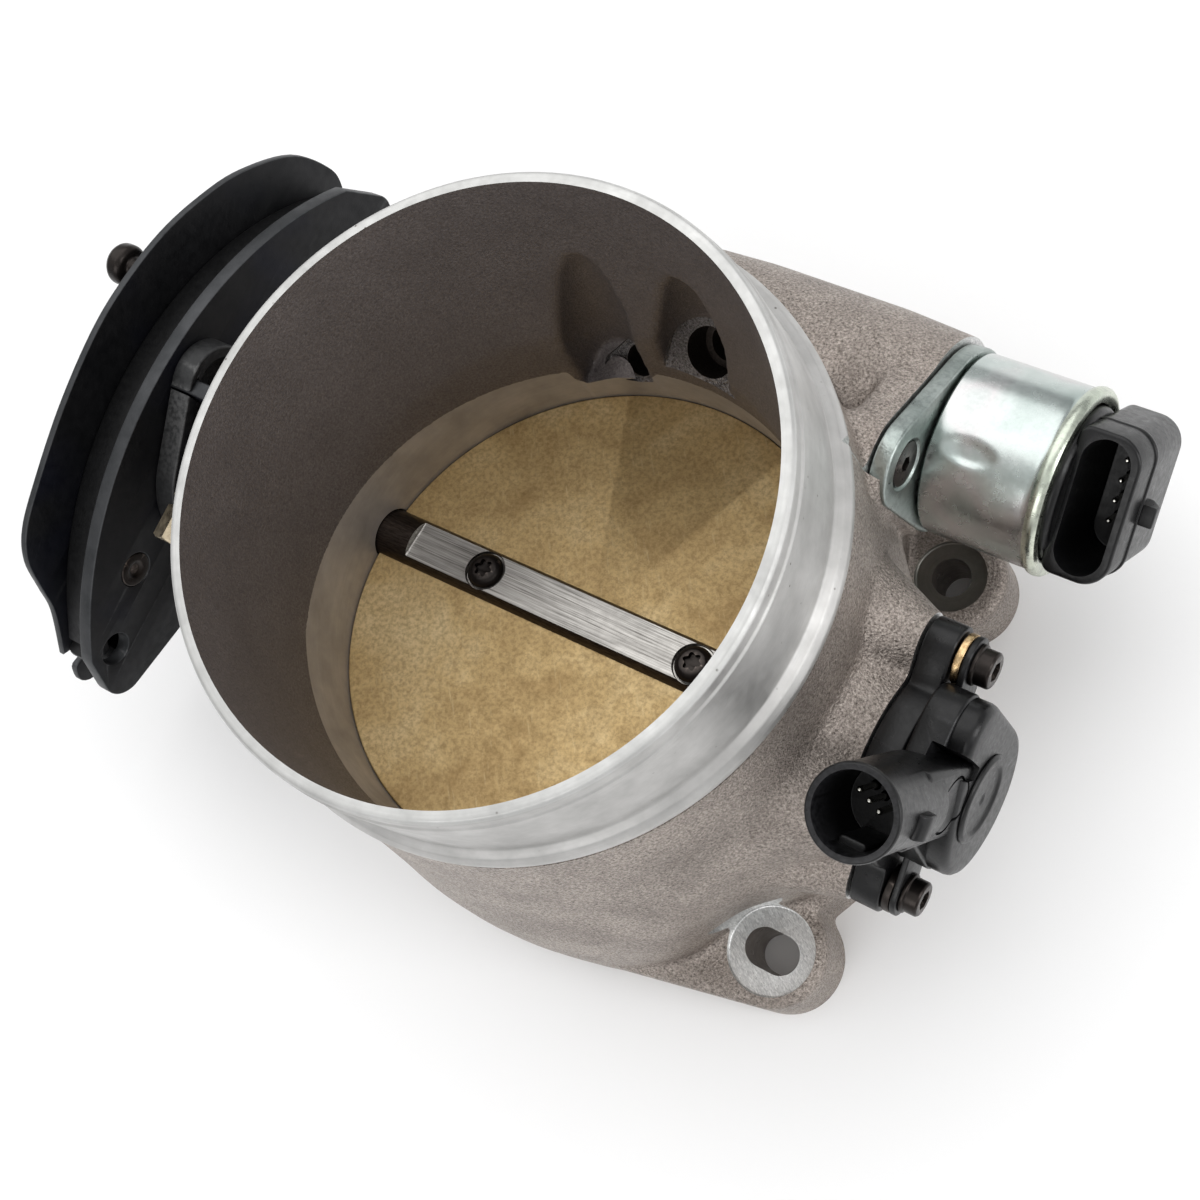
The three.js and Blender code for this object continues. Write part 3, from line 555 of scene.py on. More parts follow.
def plated_zinc(name, tints, rough=(0.18, 0.34), grain=0.012, shade=0.4):
    """Zinc plate: bright and slightly cloudy, with a faint change of tint."""
    paint = Paint(name, 1.0)
    cloud = paint.noise(0.06, 2, 0.5, distortion=0.5)
    spangle = paint.noise(0.8, 4, 0.7)
    steps = [(0.3 + 0.4 * i / (len(tints) - 1), srgb(*t)) for i, t in enumerate(tints)]
    tone = paint.ramp(cloud, *steps)
    shadow = srgb(*[int(c * 0.72) for c in tints[0]])
    tone = paint.blend(paint.ramp(spangle, (0.36, shade), (0.58, 0.0)), tone, shadow)
    paint.bump(spangle, grain * 2)
    paint.bump(paint.noise(3.2, 2), grain)
    return paint.done(tone, paint.ramp(paint.noise(0.4, 4), (0.3, rough[0]), (0.7, rough[1])))


def moulded_plastic(name, dark, light, rough=(0.4, 0.58), grain=0.025):
    """Moulded nylon: fine spark-eroded texture, paler scuffs on its edges."""
    paint = Paint(name, 0.0, Specular_IOR_Level=0.34)
    patch = paint.noise(0.2, 4, 0.6)
    tone = paint.ramp(patch, (0.3, srgb(*dark)), (0.75, srgb(*light)))
    tone = paint.worn(tone, srgb(*[min(255, int(c * 1.9 + 12)) for c in light]))
    paint.bump(paint.noise(2.2, 3), grain)
    return paint.done(tone, paint.ramp(paint.noise(0.9, 4), (0.3, rough[0]), (0.7, rough[1])))


CAST = cast_metal("cast_skin", (74, 66, 60), (214, 203, 194))
# Inside of the bell: the same cast skin painted darker, as painted shade.
BELL_SHADED_SKIN = cast_metal("bell_skin_painted_shade", (84, 78, 77), (132, 125, 123), 0.07, (0.46, 0.66), 0.55)
COLLAR = turned_metal("turned_collar", (172, 171, 169), (200, 199, 197), None, 3.0, (0.46, 0.56))
RIM = turned_metal("rim_face", (184, 184, 182), (212, 212, 210), (0, INLET_Y), 2.0, (0.46, 0.62), 0.03)
BORE = turned_metal(
    "bored_band", (150, 144, 138), (184, 177, 170), None, 2.2, (0.48, 0.6), 0.015, pits=False, metallic=0.5,
)
MILLED = milled_metal("milled_bright", (166, 166, 166), (232, 232, 230))
# Spotfaces of the +Y ears: the milled face painted grey, as painted shade.
SPOT_SHADED = turned_metal(
    "spotface_painted_shade", (104, 102, 97), (140, 138, 132), EARS[0], 2.4, (0.32, 0.45), 0.03, pits=False,
)
SEAT = cast_metal("milled_seat", (64, 59, 58), (196, 191, 189), 0.3, (0.36, 0.55))
# Walls of the drilled air ports: near-black, painted shade in the deep holes.
PORT_SHADED = cast_metal("port_wall_painted_shade", (52, 46, 42), (86, 78, 72), 0.05, (0.5, 0.7))
THREAD = turned_metal("drilled_wall", (120, 112, 106), (186, 178, 172), None, 1.6, (0.25, 0.4), 0.16, False)
BRASS = plate_brass()
SHAFT = brushed_steel("oxide_shaft", (50, 44, 41), (84, 76, 71), (0.3, 2, 2), (0.3, 0.45), 0.015)
GROUND = brushed_steel("ground_flat", (112, 109, 105), (196, 193, 188), (0.04, 2.4, 2.4), (0.32, 0.44), 0.02)
GOLD_LIP = brushed_steel("brass_lip", (170, 140, 100), (226, 196, 150), (1, 1, 1))
OXIDE = coated_steel("black_oxide", (30, 27, 26), (56, 51, 48), (120, 110, 104), 0.85, (0.26, 0.4))
WHEEL = coated_steel("wheel_face", (15, 16, 19), (31, 31, 33), (70, 71, 73), 0.55, (0.42, 0.6), (17, 20, 36))
WHEEL_EDGE = coated_steel("wheel_edge", (44, 46, 48), (70, 71, 73), (100, 101, 103), 0.7, (0.4, 0.55))
CUP = coated_steel("cup_grey", (22, 22, 23), (38, 39, 40), (92, 92, 92), 0.4, (0.45, 0.6))
NYLON = moulded_plastic("black_nylon", (6, 6, 7), (13, 13, 14))
PLASTIC = moulded_plastic("black_plastic", (5, 5, 6), (12, 12, 13), (0.26, 0.4))
PLASTIC_DARK = moulded_plastic("black_plastic_inside", (5, 5, 6), (12, 12, 13), (0.3, 0.46))
ZINC = plated_zinc(
    "can_zinc", [(168, 180, 176), (196, 204, 201), (202, 200, 200), (186, 196, 193)],
    (0.2, 0.3), 0.001, 0.15,
)
ZINC_LIP = plated_zinc("can_lip", [(190, 198, 184), (222, 226, 210)], (0.22, 0.36))
FLANGE_ZINC = plated_zinc("flange_zinc", [(140, 150, 146), (190, 198, 194)], (0.26, 0.42), 0.03)
YELLOW = plated_zinc("yellow_zinc", [(196, 178, 146), (226, 212, 186)], (0.24, 0.4))
STEEL = plated_zinc("plain_steel", [(150, 146, 140), (196, 192, 186)], (0.24, 0.4))
BEARING = brushed_steel("bearing_steel", (120, 120, 122), (190, 190, 192), (1, 1, 1), (0.15, 0.25), 0.01)
SPRING = brushed_steel("spring_wire", (34, 34, 38), (70, 70, 76), (1, 1, 1), (0.25, 0.4), 0.01)
RUBBER = moulded_plastic("seal_rubber", (14, 14, 14), (26, 26, 26), (0.6, 0.8))
TINNED = plated_zinc("tinned_pin", [(190, 188, 180), (230, 228, 220)], (0.16, 0.28))
COPPER = brushed_steel("copper_wire", (140, 74, 40), (206, 122, 76), (0.2, 2, 2), (0.25, 0.4), 0.05)
MAGNET = coated_steel("magnet", (40, 40, 44), (66, 66, 70), (120, 120, 124), 0.6, (0.4, 0.55))
WHITE = moulded_plastic("white_nylon", (196, 192, 184), (222, 218, 210))

# ---- housing ----

# Slots shared by the casting and all that cuts it, in the order of their numbers.
HOUSING = [CAST, COLLAR, BELL_SHADED_SKIN, BORE, MILLED, SPOT_SHADED, PORT_SHADED, RIM, THREAD, SEAT]
S_CAST, S_COLLAR, S_BELL_SHADED, S_BORE, S_MILLED, S_SPOT_SHADED, S_PORT_SHADED, S_RIM, S_THREAD, S_SEAT = range(len(HOUSING))
VOXEL, BELL_VOXEL = 0.85, 0.75  # size of the cells that the cast shapes are melted in
STOCK = 3                       # metal left on a pad until its face is milled
SEAT_TILT = 40                  # lean of the milled seats in the pockets, in degrees
SEAT_SLOPE = math.tan(math.radians(SEAT_TILT))


def level(z, y, radius, segments=128):
    """Level ring about (0, y), whose radius may depend on the angle."""
    ring = []
    for k in range(segments):
        a = 2 * math.pi * k / segments
        r = radius(a) if callable(radius) else radius
        ring.append((r * math.cos(a), y + r * math.sin(a), z))
    return ring


def lobed(base, lobe, width):
    """Radius of the barrel by angle, changed by up to lobe towards the four ears."""
    def radius(a):
        swell = 0
        for x, y in EARS:
            d = a - math.atan2(y, x)
            d = math.atan2(math.sin(d), math.cos(d))
            swell += lobe * math.exp(-((d / width) ** 2))
        return base + swell
    return radius


def barrel():
    """Outer skin from the flange to the collar, drawn in behind the four ears."""
    drawn_in = [
        (FLANGE_TOP, 0, FLANGE_R, -5.4), (-26, 0, 55.9, -4.6), (-17, 0.3, 55.6, -3), (-8, 0.9, 55.1, -1.2),
    ]
    return skin([
        level(FLANGE_Z - 6, 0, FLANGE_R), *[level(z, y, lobed(r, lobe, 0.2)) for z, y, r, lobe in drawn_in],
        level(4, 2.2, 54.0), level(18, 3.9, 53.2), level(30, 5.4, 52.9), level(40, INLET_Y, 52.6),
    ])


def flange():
    ears = []
    for x, y in EARS:
        root = (math.copysign(7.4, x), math.copysign(35, y), 20)
        ears.append(slab("z", [around([(x, y, EAR_R + 0.3), root])], FLANGE_Z - 6, FLANGE_TOP + 0.2, 0.1))
    return [slab("z", [circle(0, 0, FLANGE_R + 0.2, 96)], FLANGE_Z - 6, FLANGE_TOP, 0.1), *ears]


def polar_screws(radius, turn):
    return [polar(radius, turn), polar(-radius, turn)]


SENSOR_SCREWS = polar_screws(SENSOR_SCREW_R, SENSOR_TURN)
VALVE_SCREWS = polar_screws(VALVE_SCREW_R, VALVE_TURN)


def cone(x0, r0, x1, r1, centre0=(0, 0), centre1=(0, 0)):
    """Round body along X from one circle to another."""
    rings = []
    for x, r, (y, z) in ((x0, r0, centre0), (x1, r1, centre1)):
        rings.append([(x, y + u, z + v) for u, v in circle(0, 0, r, 72)])
    return skin(rings)


def keyhole(hub, ear, neck, steps=240):
    """Outline of a hub with an ear for each sensor screw, smoothed neck times where they meet."""
    points = []
    for k in range(steps):
        a = 2 * math.pi * k / steps
        r = hub
        for y, z in SENSOR_SCREWS:
            d = abs(math.remainder(a - math.atan2(z, y), 2 * math.pi))
            aside = SENSOR_SCREW_R * math.sin(d)
            if d < math.pi / 2 and aside < ear:
                r = max(r, SENSOR_SCREW_R * math.cos(d) + math.sqrt(ear ** 2 - aside ** 2))
        points.append((r * math.cos(a), r * math.sin(a)))
    for _ in range(neck):
        points = [tuple((Vector(points[i - 1]) + Vector(p) * 2 + Vector(points[(i + 1) % steps])) / 4)
                  for i, p in enumerate(points)]
    return points


def sensor_boss():
    """Pad under the sensor, on a broad root that runs out into the barrel and down to the nearest ear."""
    (uy, uz), (ly, lz) = SENSOR_SCREWS
    return [
        slab("x", [keyhole(16.5, 5.2, 5)], 30, SENSOR_FACE_X + STOCK, 0.1),
        cone(36, 35, 47, 25.5), cone(46, 26, 59, 16.4),
        cone(34, 19, 59, 5.4, (uy - 3, uz + 4), (uy, uz)),
        cone(34, 16, 59, 5.4, (ly + 3, lz + 2), (ly, lz)),
    ]


def wheel_boss():
    """Shaft boss on the wheel's side and the lug for the idle stop screw."""
    return [
        rod("x", 15.3, WHEEL_FACE_X - 4, -30, 72),
        cone(-69, 11, -54, 17.5), cone(-54, 17.5, -40, 31),
        slab("y", [around([(STOP_Z, STOP_X, 4.5), (STOP_Z, -58, 4.5)])], -8.2, 3.2, 0.6),
        block(-61.5, -44, -8.2, 3.2, 6, STOP_Z + 4.3),
    ]


def valve_tunnel():
    """Long rounded tunnel beside the bore, with the diamond pad at its end."""
    tunnel = lathe("x", [
        (0, -26.2), (7.2, -25.2), (12.7, -21.7), (16.2, -16), (17.7, -8), (18.2, 4), (17.9, 30),
        (16.9, VALVE_FACE_X + STOCK), (0, VALVE_FACE_X + STOCK),
    ], 0, 96, centre=(0, VALVE_Y, 0))
    pad = around([(VALVE_Y, 0, 16.4), *[(VALVE_Y + y, z, 7.8) for y, z in VALVE_SCREWS]])
    web = block(-16, 34, 30, VALVE_Y, FLANGE_Z + 5, 0)
    return [tunnel, slab("x", [pad], 36, VALVE_FACE_X + STOCK, 0.1), web]


def collar():
    """Turned hose collar: bead, seat, a shallow relief and the chamfered end."""
    bead = [(52.7, -1.7), (53.1, -0.7), (53.1, 0.5), (52.3, 1.8), (50.9, 2.7), (50.8, 3.6)]
    end = [(50.8, 55.1), (50.45, 55.5), (50.45, 57.6), (49.9, INLET_Z), (0, INLET_Z)]
    obj = lathe("z", [
        (0, COLLAR_FOOT), (51.6, COLLAR_FOOT), *[(r, BEAD_Z + h) for r, h in bead], *end,
    ], 0.3, 256, S_COLLAR, (0, INLET_Y, 0))
    for polygon in obj.data.polygons:
        if polygon.normal.z > 0.5 and polygon.center.z > INLET_Z - 1.3:
            polygon.material_index = S_RIM
    return obj


def leaning(x, y, z, radius, foot):
    """Ring about (x, y) that climbs away from the bore with the milled seats, from y = foot outwards."""
    return [(x + u, y + v, z + max(0, SEAT_SLOPE * (y + v - foot))) for u, v in circle(0, 0, radius)]


# Air pockets: the leaning ring at the foot of each, then the higher rings as (z, x, y, radius).
POCKETS = [
    (leaning(-16.5, 41.9, 0.5, 6.4, 43.0),
     [(14, -15.1, 42.8, 6.6), (26, -12.4, 44.2, 6.1), (34, -11.5, 46.2, 4.6), (40, -11.0, 47.6, 2.6)]),
    (leaning(2, 46.2, 9.9, 6.5, 45),
     [(20, 5, 46.4, 7.4), (30, 7.6, 47.2, 6.6), (37, 8.5, 48.2, 5), (42, 8.9, 49, 2.6)]),
]


def bell():
    """Cast inlet bell with its two air pockets melted in."""
    lofts = [skin([
        level(2, 0.45, 44.5), level(20, 0.25, 45.15),
        level(INLET_Z, INLET_Y, 48.4), level(66, INLET_Y + 1.2, 49),
    ])]
    for foot, rings in POCKETS:
        higher = [[(x + u, y + v, z) for u, v in circle(0, 0, r)] for z, x, y, r in rings]
        lofts.append(skin([foot, *higher]))
    obj = cast(lofts, BELL_VOXEL, 5)
    # All the bell's faces take the darker cast skin: painted shade.
    obj.data.polygons.foreach_set("material_index", [S_BELL_SHADED] * len(obj.data.polygons))
    return obj


def bolt_cutters():
    """Bolt holes and their seats: slots with a wide milled seat at -Y, round and narrower at +Y."""
    tools = []
    depth = FLANGE_TOP - 0.7
    for x, y in EARS:
        # The +Y seats take the grey spotface colour: painted shade.
        half, face, radius = (BOLT_SLOT, S_MILLED, 8.1) if y < 0 else (0, S_SPOT_SHADED, 6.6)
        slot = around([(x - half, y, BOLT_HOLE_R), (x + half, y, BOLT_HOLE_R)])
        tools.append(slab("z", [slot], FLANGE_Z - 3, FLANGE_TOP + 6, 0.05, S_THREAD))
        tools.append(lathe("z", [
            (0, depth), (radius, depth), (radius, FLANGE_TOP + 1),
            (radius + 1.2, FLANGE_TOP + 9), (0, FLANGE_TOP + 9),
        ], 0.35, 72, face, (x, y, 0)))
    return tools


def seat(centre, outline, port_r, depth):
    """Leaning milled seat in a pocket, with the mouth of its air port."""
    there = move(*centre) @ Matrix.Rotation(math.radians(SEAT_TILT), 4, "X")
    # The port's walls are near-black: painted shade.
    return [turned(tool, there) for tool in (
        slab("z", [around(outline)], 0, 1.4, 0.1, S_SEAT),
        rod("z", port_r, -6, 0.6, 64, S_PORT_SHADED),
        rod("z", port_r * 0.72, -depth, 0.6, 48, S_PORT_SHADED),
    )]


def air_passages():
    """Idle air passages, drilled from the valve's bore to the pockets and to the engine side."""
    # Most passage walls take the near-black port colour: painted shade.
    outlet = turned(rod("y", 4, -26, 0, 40, S_PORT_SHADED), Matrix.Rotation(math.radians(50), 4, "X"))
    at_valve = (0, VALVE_Y, 0)
    return [
        rod("x", 9.6, 17, VALVE_FACE_X + 4, 64, S_THREAD, at_valve),
        rod("x", 7, 8, 18, 64, S_PORT_SHADED, at_valve),
        rod("x", 4.6, -2, 9, 48, S_PORT_SHADED, at_valve),
        turned(outlet, move(22, VALVE_Y, 0)),
        *seat((3.8, 49.1, 12.9), [(-1.2, 1.6, 6.2), (-5.4, -5, 3), (1.6, 2.4, 5.6), (3.4, -5, 3)], 4.6, 13),
        *seat((-13.1, 46.4, 2.5), [(-0.4, 0, 4.2), (-4.8, -2.0, 2), (1.4, -2.0, 2)], 3.0, 8),
    ]


def tapped_holes(face_x, y0, screws):
    foot = face_x - TAPPED_DEPTH
    return [rod("x", TAPPED_R, foot, face_x + 5, 32, S_THREAD, (0, y0 + y, z)) for y, z in screws]


def make_housing():
    casting = cast([barrel(), *flange(), *sensor_boss(), *wheel_boss(), *valve_tunnel()], VOXEL, 14)
    cut(casting, block(-OUTSIDE, OUTSIDE, -OUTSIDE, OUTSIDE, CASTING_TOP, 90, 0.1, S_CAST))
    join(casting, collar())
    cut(
        casting,
        block(-OUTSIDE, OUTSIDE, -OUTSIDE, OUTSIDE, -90, FLANGE_Z, 0.05, S_MILLED),
        block(SENSOR_FACE_X, 90, -50, 50, -50, 50, 0.05, S_MILLED),
        block(VALVE_FACE_X, 60, 36.5, 90, -27, 40, 0.05, S_MILLED),
        rod("x", 15.4, -80, WHEEL_FACE_X, 72, S_MILLED),
    )
    cut(casting, bell())
    cut(casting, rod("z", BORE_R, FLANGE_Z - 6, BORE_TOP, 256, S_BORE))
    cut(
        casting,
        rod("x", SHAFT_R + CLEAR, -100, 100, 48, S_THREAD),
        rod("x", BEARING_HOLE_R, SENSOR_FACE_X - 11.2, SENSOR_FACE_X + 5, 64, S_THREAD),
        rod("x", BEARING_HOLE_R, WHEEL_FACE_X - 3, WHEEL_FACE_X + 12.5, 64, S_THREAD),
        rod("y", 2.85, -20, 20, 40, S_THREAD, (STOP_X, 0, STOP_Z)),
        *bolt_cutters(),
    )
    holes = tapped_holes(SENSOR_FACE_X, 0, SENSOR_SCREWS) + tapped_holes(VALVE_FACE_X, VALVE_Y, VALVE_SCREWS)
    return cut(casting, *air_passages(), *holes)


piece(make_housing(), "housing_casting", "housing", HOUSING)

# ---- bearings and seals ----

for name, x0, x1 in (("bearing_wheel_side", -59, -50), ("bearing_sensor_side", 48.3, 54.8)):
    ring = sleeve("x", SHAFT_R + 0.2, BEARING_R, x0, x1, 0.3)
    piece(ring, name + "_turned", name, [BEARING])
for name, x0, x1 in (("shaft_seal_wheel_side", -61.7, -59.3), ("shaft_seal_sensor_side", 55.1, 57.8)):
    lip = SHAFT_R + 0.15
    ring = lathe("x", [
        (lip, x0 + 0.5), (6.2, x0), (BEARING_R, x0), (BEARING_R, x1), (6.2, x1), (lip, x1 - 0.5),
        (SHAFT_R + 0.35, (x0 + x1) / 2), (lip, x0 + 0.5),
    ], 0.15)
    piece(ring, name + "_lipped", name, [RUBBER])

# ---- shaft and plate, laid out in the plate's own plane ----


def make_shaft():
    """Slotted shaft: dark round stock, with the flat, the end flats and the counterbores ground bright."""
    x0, x1 = SHAFT_ENDS
    stock = lathe("x", [(0, x0), (SHAFT_R, x0), (SHAFT_R, x1), (0, x1)], 0.8, 96)
    tools = [
        block(-FLAT_HALF, FLAT_HALF, -9, 9, FLAT_HEIGHT, 9, 0.3, 1),
        block(-BORE_R, BORE_R, -9, 9, -PLATE_SLOT, PLATE_SLOT, 0.05),
    ]
    for x0, x1 in ((-120, WHEEL_X), (65.6, 80)):
        tools += [block(x0, x1, -9, 9, END_FLAT, 9, 0.05, 1), block(x0, x1, -9, 9, -9, -END_FLAT, 0.05, 1)]
    sunk = [(0, 2.2), (3.75, 2.2), (3.75, 3.0), (4.1, 3.6), (4.1, 8), (0, 8)]
    for x in (-SCREW_X, SCREW_X):
        tools += [lathe("z", sunk, 0.1, 64, 2, (x, 0, 0)), rod("z", PLATE_SCREW_R, -6, 6, 40, 2, (x, 0, 0))]
    return cut(stock, *tools)


def make_plate():
    """Disc sheared through the tilt, so that its rim is flush with the bore all round."""
    tilt, radius = math.radians(PLATE_TILT), BORE_R - 0.2
    rings = []
    for h, inset in ((-1, 0.25), (-0.8, 0), (0.8, 0), (1, 0.25)):
        ring = []
        for k in range(256):
            x, y = polar(radius - inset, 360 * k / 256)
            ring.append((x, (y + h * math.sin(tilt)) / math.cos(tilt), h))
        rings.append(ring)
    return cut(skin(rings), *[rod("z", PLATE_SCREW_R, -6, 6, 40, 0, (x, 0, 0)) for x in (-SCREW_X, SCREW_X)])


def six_lobes(radius, depth):
    """Outline of a six-lobe recess."""
    return [polar(radius - depth * (0.5 - 0.5 * math.cos(6 * math.radians(a))), a) for a in range(0, 360, 4)]


def plate_screw():
    """Button head with a six-lobe recess."""
    body = lathe("z", [
        (0, -3.6), (1.6, -3.6), (1.6, 2.4), (3.35, 2.4), (3.35, 3.1), (3.0, 3.7), (2.3, 4.2), (0, 4.4),
    ], 0.25, 64)
    return cut(body, slab("z", [six_lobes(1.75, 0.5)], 3.2, 6, 0.05))


SHAFT_FINISH = [SHAFT, GROUND, STEEL]
piece(make_shaft(), "throttle_shaft_ground", "throttle_shaft", SHAFT_FINISH, "throttle", TILT)
piece(make_plate(), "throttle_plate_disc", "throttle_plate", [BRASS], "throttle", TILT)
for name, x in (("plate_screw_wheel_side", -SCREW_X), ("plate_screw_sensor_side", SCREW_X)):
    # The two screws stopped at different turns: x serves as the angle, in radians.
    there = TILT @ move(x) @ Matrix.Rotation(x, 4, "Z")
    piece(plate_screw(), name + "_head", name, [OXIDE], "throttle", there)

# ---- cable wheel, as y and z across the shaft ----

RIVETS = [(-27.1, 7.3), (31, 2)]
RIVET_R = 3.4
NUT_X = WHEEL_OUTER_X - 1.8


def bow(margin):
    """Bow-shaped outline of the wheel: one long arc for the cable, closed around the hub."""
    arc = [(4.4 + u, v - 47, 0) for u, v in (polar(73.6 - margin, 44 + 1.5 * i) for i in range(61))]
    ends = [(-45.2, -3.8, 5.4 - margin / 2), (57, -8, 5 - margin / 2), (0, 0, 22 - margin)]
    return around([*arc, *ends])


def flatted_circle(radius, flat):
    """Round hole with two flats, turned with the plate."""
    turn = math.radians(PLATE_TILT)
    points = []
    for k in range(48):
        u, v = polar(radius, 360 * k / 48)
        v = max(-flat, min(flat, v))
        points.append((u * math.cos(turn) - v * math.sin(turn), u * math.sin(turn) + v * math.cos(turn)))
    return points


WHEEL_BORE = flatted_circle(SHAFT_R + CLEAR, END_FLAT + CLEAR)
RIVET_HOLES = [circle(u, v, RIVET_R + 0.1, 48) for u, v in RIVETS]


def spline_outline(points, steps=6):
    """Smooth line through points, by Catmull-Rom."""
    out = []
    ends = [points[0], *points, points[-1]]
    for i in range(1, len(ends) - 2):
        a, b, c, d = (Vector(p) for p in ends[i - 1:i + 3])
        for k in range(steps):
            t = k / steps
            out.append(tuple(0.5 * (2 * b + (c - a) * t + (2 * a - 5 * b + 4 * c - d) * t ** 2
                                    + (3 * b - a - 3 * c + d) * t ** 3)))
    return out + [points[-1]]


def inner_plate():
    """Inner plate, with the tab that meets the idle stop screw."""
    cable_hole = circle(-42.4, 1.7, 3.3, 48)
    outlines = [bow(0), WHEEL_BORE, cable_hole, *RIVET_HOLES]
    sheet = slab("x", outlines, WHEEL_X - PLATE_GAUGE, WHEEL_X, 0.3, 0, 1)
    tab = slab("y", [rounded(rectangle(17, 23, WHEEL_X - 1, STOP_X + 4), 1.5, closed=True)], 6, 9, 0.4, 0, 1)
    return join(sheet, tab)


def outer_plate():
    """Outer plate, with a smooth rim that ends in a hook."""
    rim = spline_outline([
        (62, -12), (63.4, -6), (60, 6), (50.6, 16.8), (41.5, 23), (31, 27.8), (18.8, 30.6), (8, 31.2),
        (-6.5, 29.5), (-21, 26), (-29.7, 23), (-35, 18.5), (-38.6, 11.5), (-41.5, 5.7), (-48.4, -2.4),
    ])
    hook = rounded([
        (-48.4, -2.4), (-45.5, -4.8), (-38, -4.4), (-38, -7.4), (-47.4, -8), (-49.9, -7), (-52.2, -10.5),
        (-51, -13.5), (-46, -15.5), (-10, -22), (10, -22), (56, -15.5), (62, -12),
    ], 1.6)
    outlines = [rim + hook[1:-1], WHEEL_BORE, *RIVET_HOLES]
    return slab("x", outlines, WHEEL_OUTER_X - OUTER_GAUGE, WHEEL_OUTER_X, 0.3, 0, 1)


def drum():
    """Moulded drum between the plates, with a seat and a slot for the cable's end."""
    x0, x1 = WHEEL_OUTER_X + 0.3, WHEEL_X - 3.3
    body = slab("x", [bow(6), WHEEL_BORE, *RIVET_HOLES], x0, x1, 0.8)
    anchor = rod("x", 3.4, x0 - 1, x1 + 1, 48, 0, (0, -39.5, -1.5))
    return cut(body, anchor, block(x0 - 1, x1 + 1, -60, -39.5, -2.6, -0.4, 0.05))


def rivet(y, z):
    x0 = WHEEL_OUTER_X - OUTER_GAUGE
    return lathe("x", [
        (0, x0 + 0.3), (1.4, x0), (RIVET_R, x0), (RIVET_R, WHEEL_X),
        (1.8, WHEEL_X), (1.2, WHEEL_X - 0.5), (0, WHEEL_X - 0.5),
    ], 0.3, 64, 0, (0, y, z))


def first_rivet():
    return rivet(*RIVETS[0])


def second_rivet():
    return rivet(*RIVETS[1])


def cable_stud():
    """Waisted stud with a round head."""
    profile = [(0, -7), (3.0, -6.8), (4, -5.6), (4, -3.6), (3.4, -2.8), (2, -2.4), (2, 0), (0, 0)]
    return lathe("x", [(r, NUT_X + h) for r, h in profile], 0.5, 64, 0, (0, 23.4, 26))


def hex_nut(axis, width, h0, h1, bore):
    """Hexagonal nut with chamfered corners, or a head if it has no bore."""
    radius = width / math.sqrt(3)
    corner, chamfer = radius + 0.05, (radius - width / 2) * 0.6
    face = radius - chamfer * 1.7
    blank = [(0, h0), (face, h0), (corner, h0 + chamfer), (corner, h1 - chamfer), (face, h1), (0, h1)]
    nut = combine(slab(axis, [hexagon(width)], h0, h1, 0.05), [lathe(axis, blank, 0, 96)], "INTERSECT")
    if bore:
        wide = bore + 1
        hole = [(0, h0 - 1), (wide, h0 - 1), (bore, h0 + 0.6), (bore, h1 - 0.6), (wide, h1 + 1), (0, h1 + 1)]
        cut(nut, lathe(axis, hole, 0, 64))
    return nut


def wheel_washer():
    return sleeve("x", SHAFT_R + 0.3, 9, NUT_X - 1.2, NUT_X)


def wheel_nut():
    return hex_nut("x", 13, NUT_X - 6.5, NUT_X - 1.5, SHAFT_R + 0.3)


for make, name, node, finish, materials in (
    (inner_plate, "wheel_inner_sheet", "cable_wheel_inner_plate", "blackened_steel", [WHEEL, WHEEL_EDGE]),
    (outer_plate, "wheel_outer_sheet", "cable_wheel_outer_plate", "blackened_steel", [WHEEL, WHEEL_EDGE]),
    (drum, "wheel_drum_moulded", "cable_wheel_drum", "black_nylon", [NYLON]),
    (first_rivet, "wheel_rivet_1", "cable_wheel_rivet_1", "blackened_steel", [OXIDE]),
    (second_rivet, "wheel_rivet_2", "cable_wheel_rivet_2", "blackened_steel", [OXIDE]),
    (cable_stud, "cruise_stud_turned", "cruise_cable_stud", "blackened_steel", [OXIDE]),
    (wheel_washer, "wheel_washer_stamped", "wheel_washer", "zinc_steel", [STEEL]),
    (wheel_nut, "wheel_nut_chamfered", "wheel_nut", "zinc_steel", [STEEL]),
):
    piece(make(), name, node, materials, "throttle")

# ---- return spring, cup and bush ----


def spring_wire(x0, x1, radius, turns, wire, steps=40):
    """Helical spring along X."""
    count = round(turns * steps)
    return tube([
        (x0 + (x1 - x0) * i / count, *polar(radius, 90 + 360 * turns * i / count)) for i in range(count + 1)
    ], wire)


def spring_cup():
    """Shallow cup around the spring, with a lobe for the spring's end."""
    def outline(margin):
        return around([(0, 0, 18.2 - margin), (10.5, 17, 7.6 - margin)], 64)
    return cut(
        slab("x", [outline(0)], WHEEL_X + 0.3, WHEEL_X + 5.2, 0.5, 0, 1),
        slab("x", [outline(2.2)], WHEEL_X + 2.2, WHEEL_X + 8, 0.3),
        rod("x", 5.2, WHEEL_X - 1, WHEEL_X + 6, 64),
        block(WHEEL_X - 1, WHEEL_X + 6, 5.6, 9.4, 16.6, 23.4, 0.3),
    )


piece(spring_wire(-81, -65, 14, 5.5, 0.95), "return_spring_wire", "return_spring", [SPRING])
bush = lathe("x", [
    (5.2, -82.4), (12.4, -82.4), (12.4, -63.4), (14.5, -63.4), (14.5, -62.3), (5.2, -62.3), (5.2, -82.4),
], 0.5)
piece(bush, "spring_bush_moulded", "spring_bush", [NYLON])
piece(spring_cup(), "spring_cup_moulded", "spring_cup", [NYLON, CUP], "throttle")

# ---- idle stop screw ----


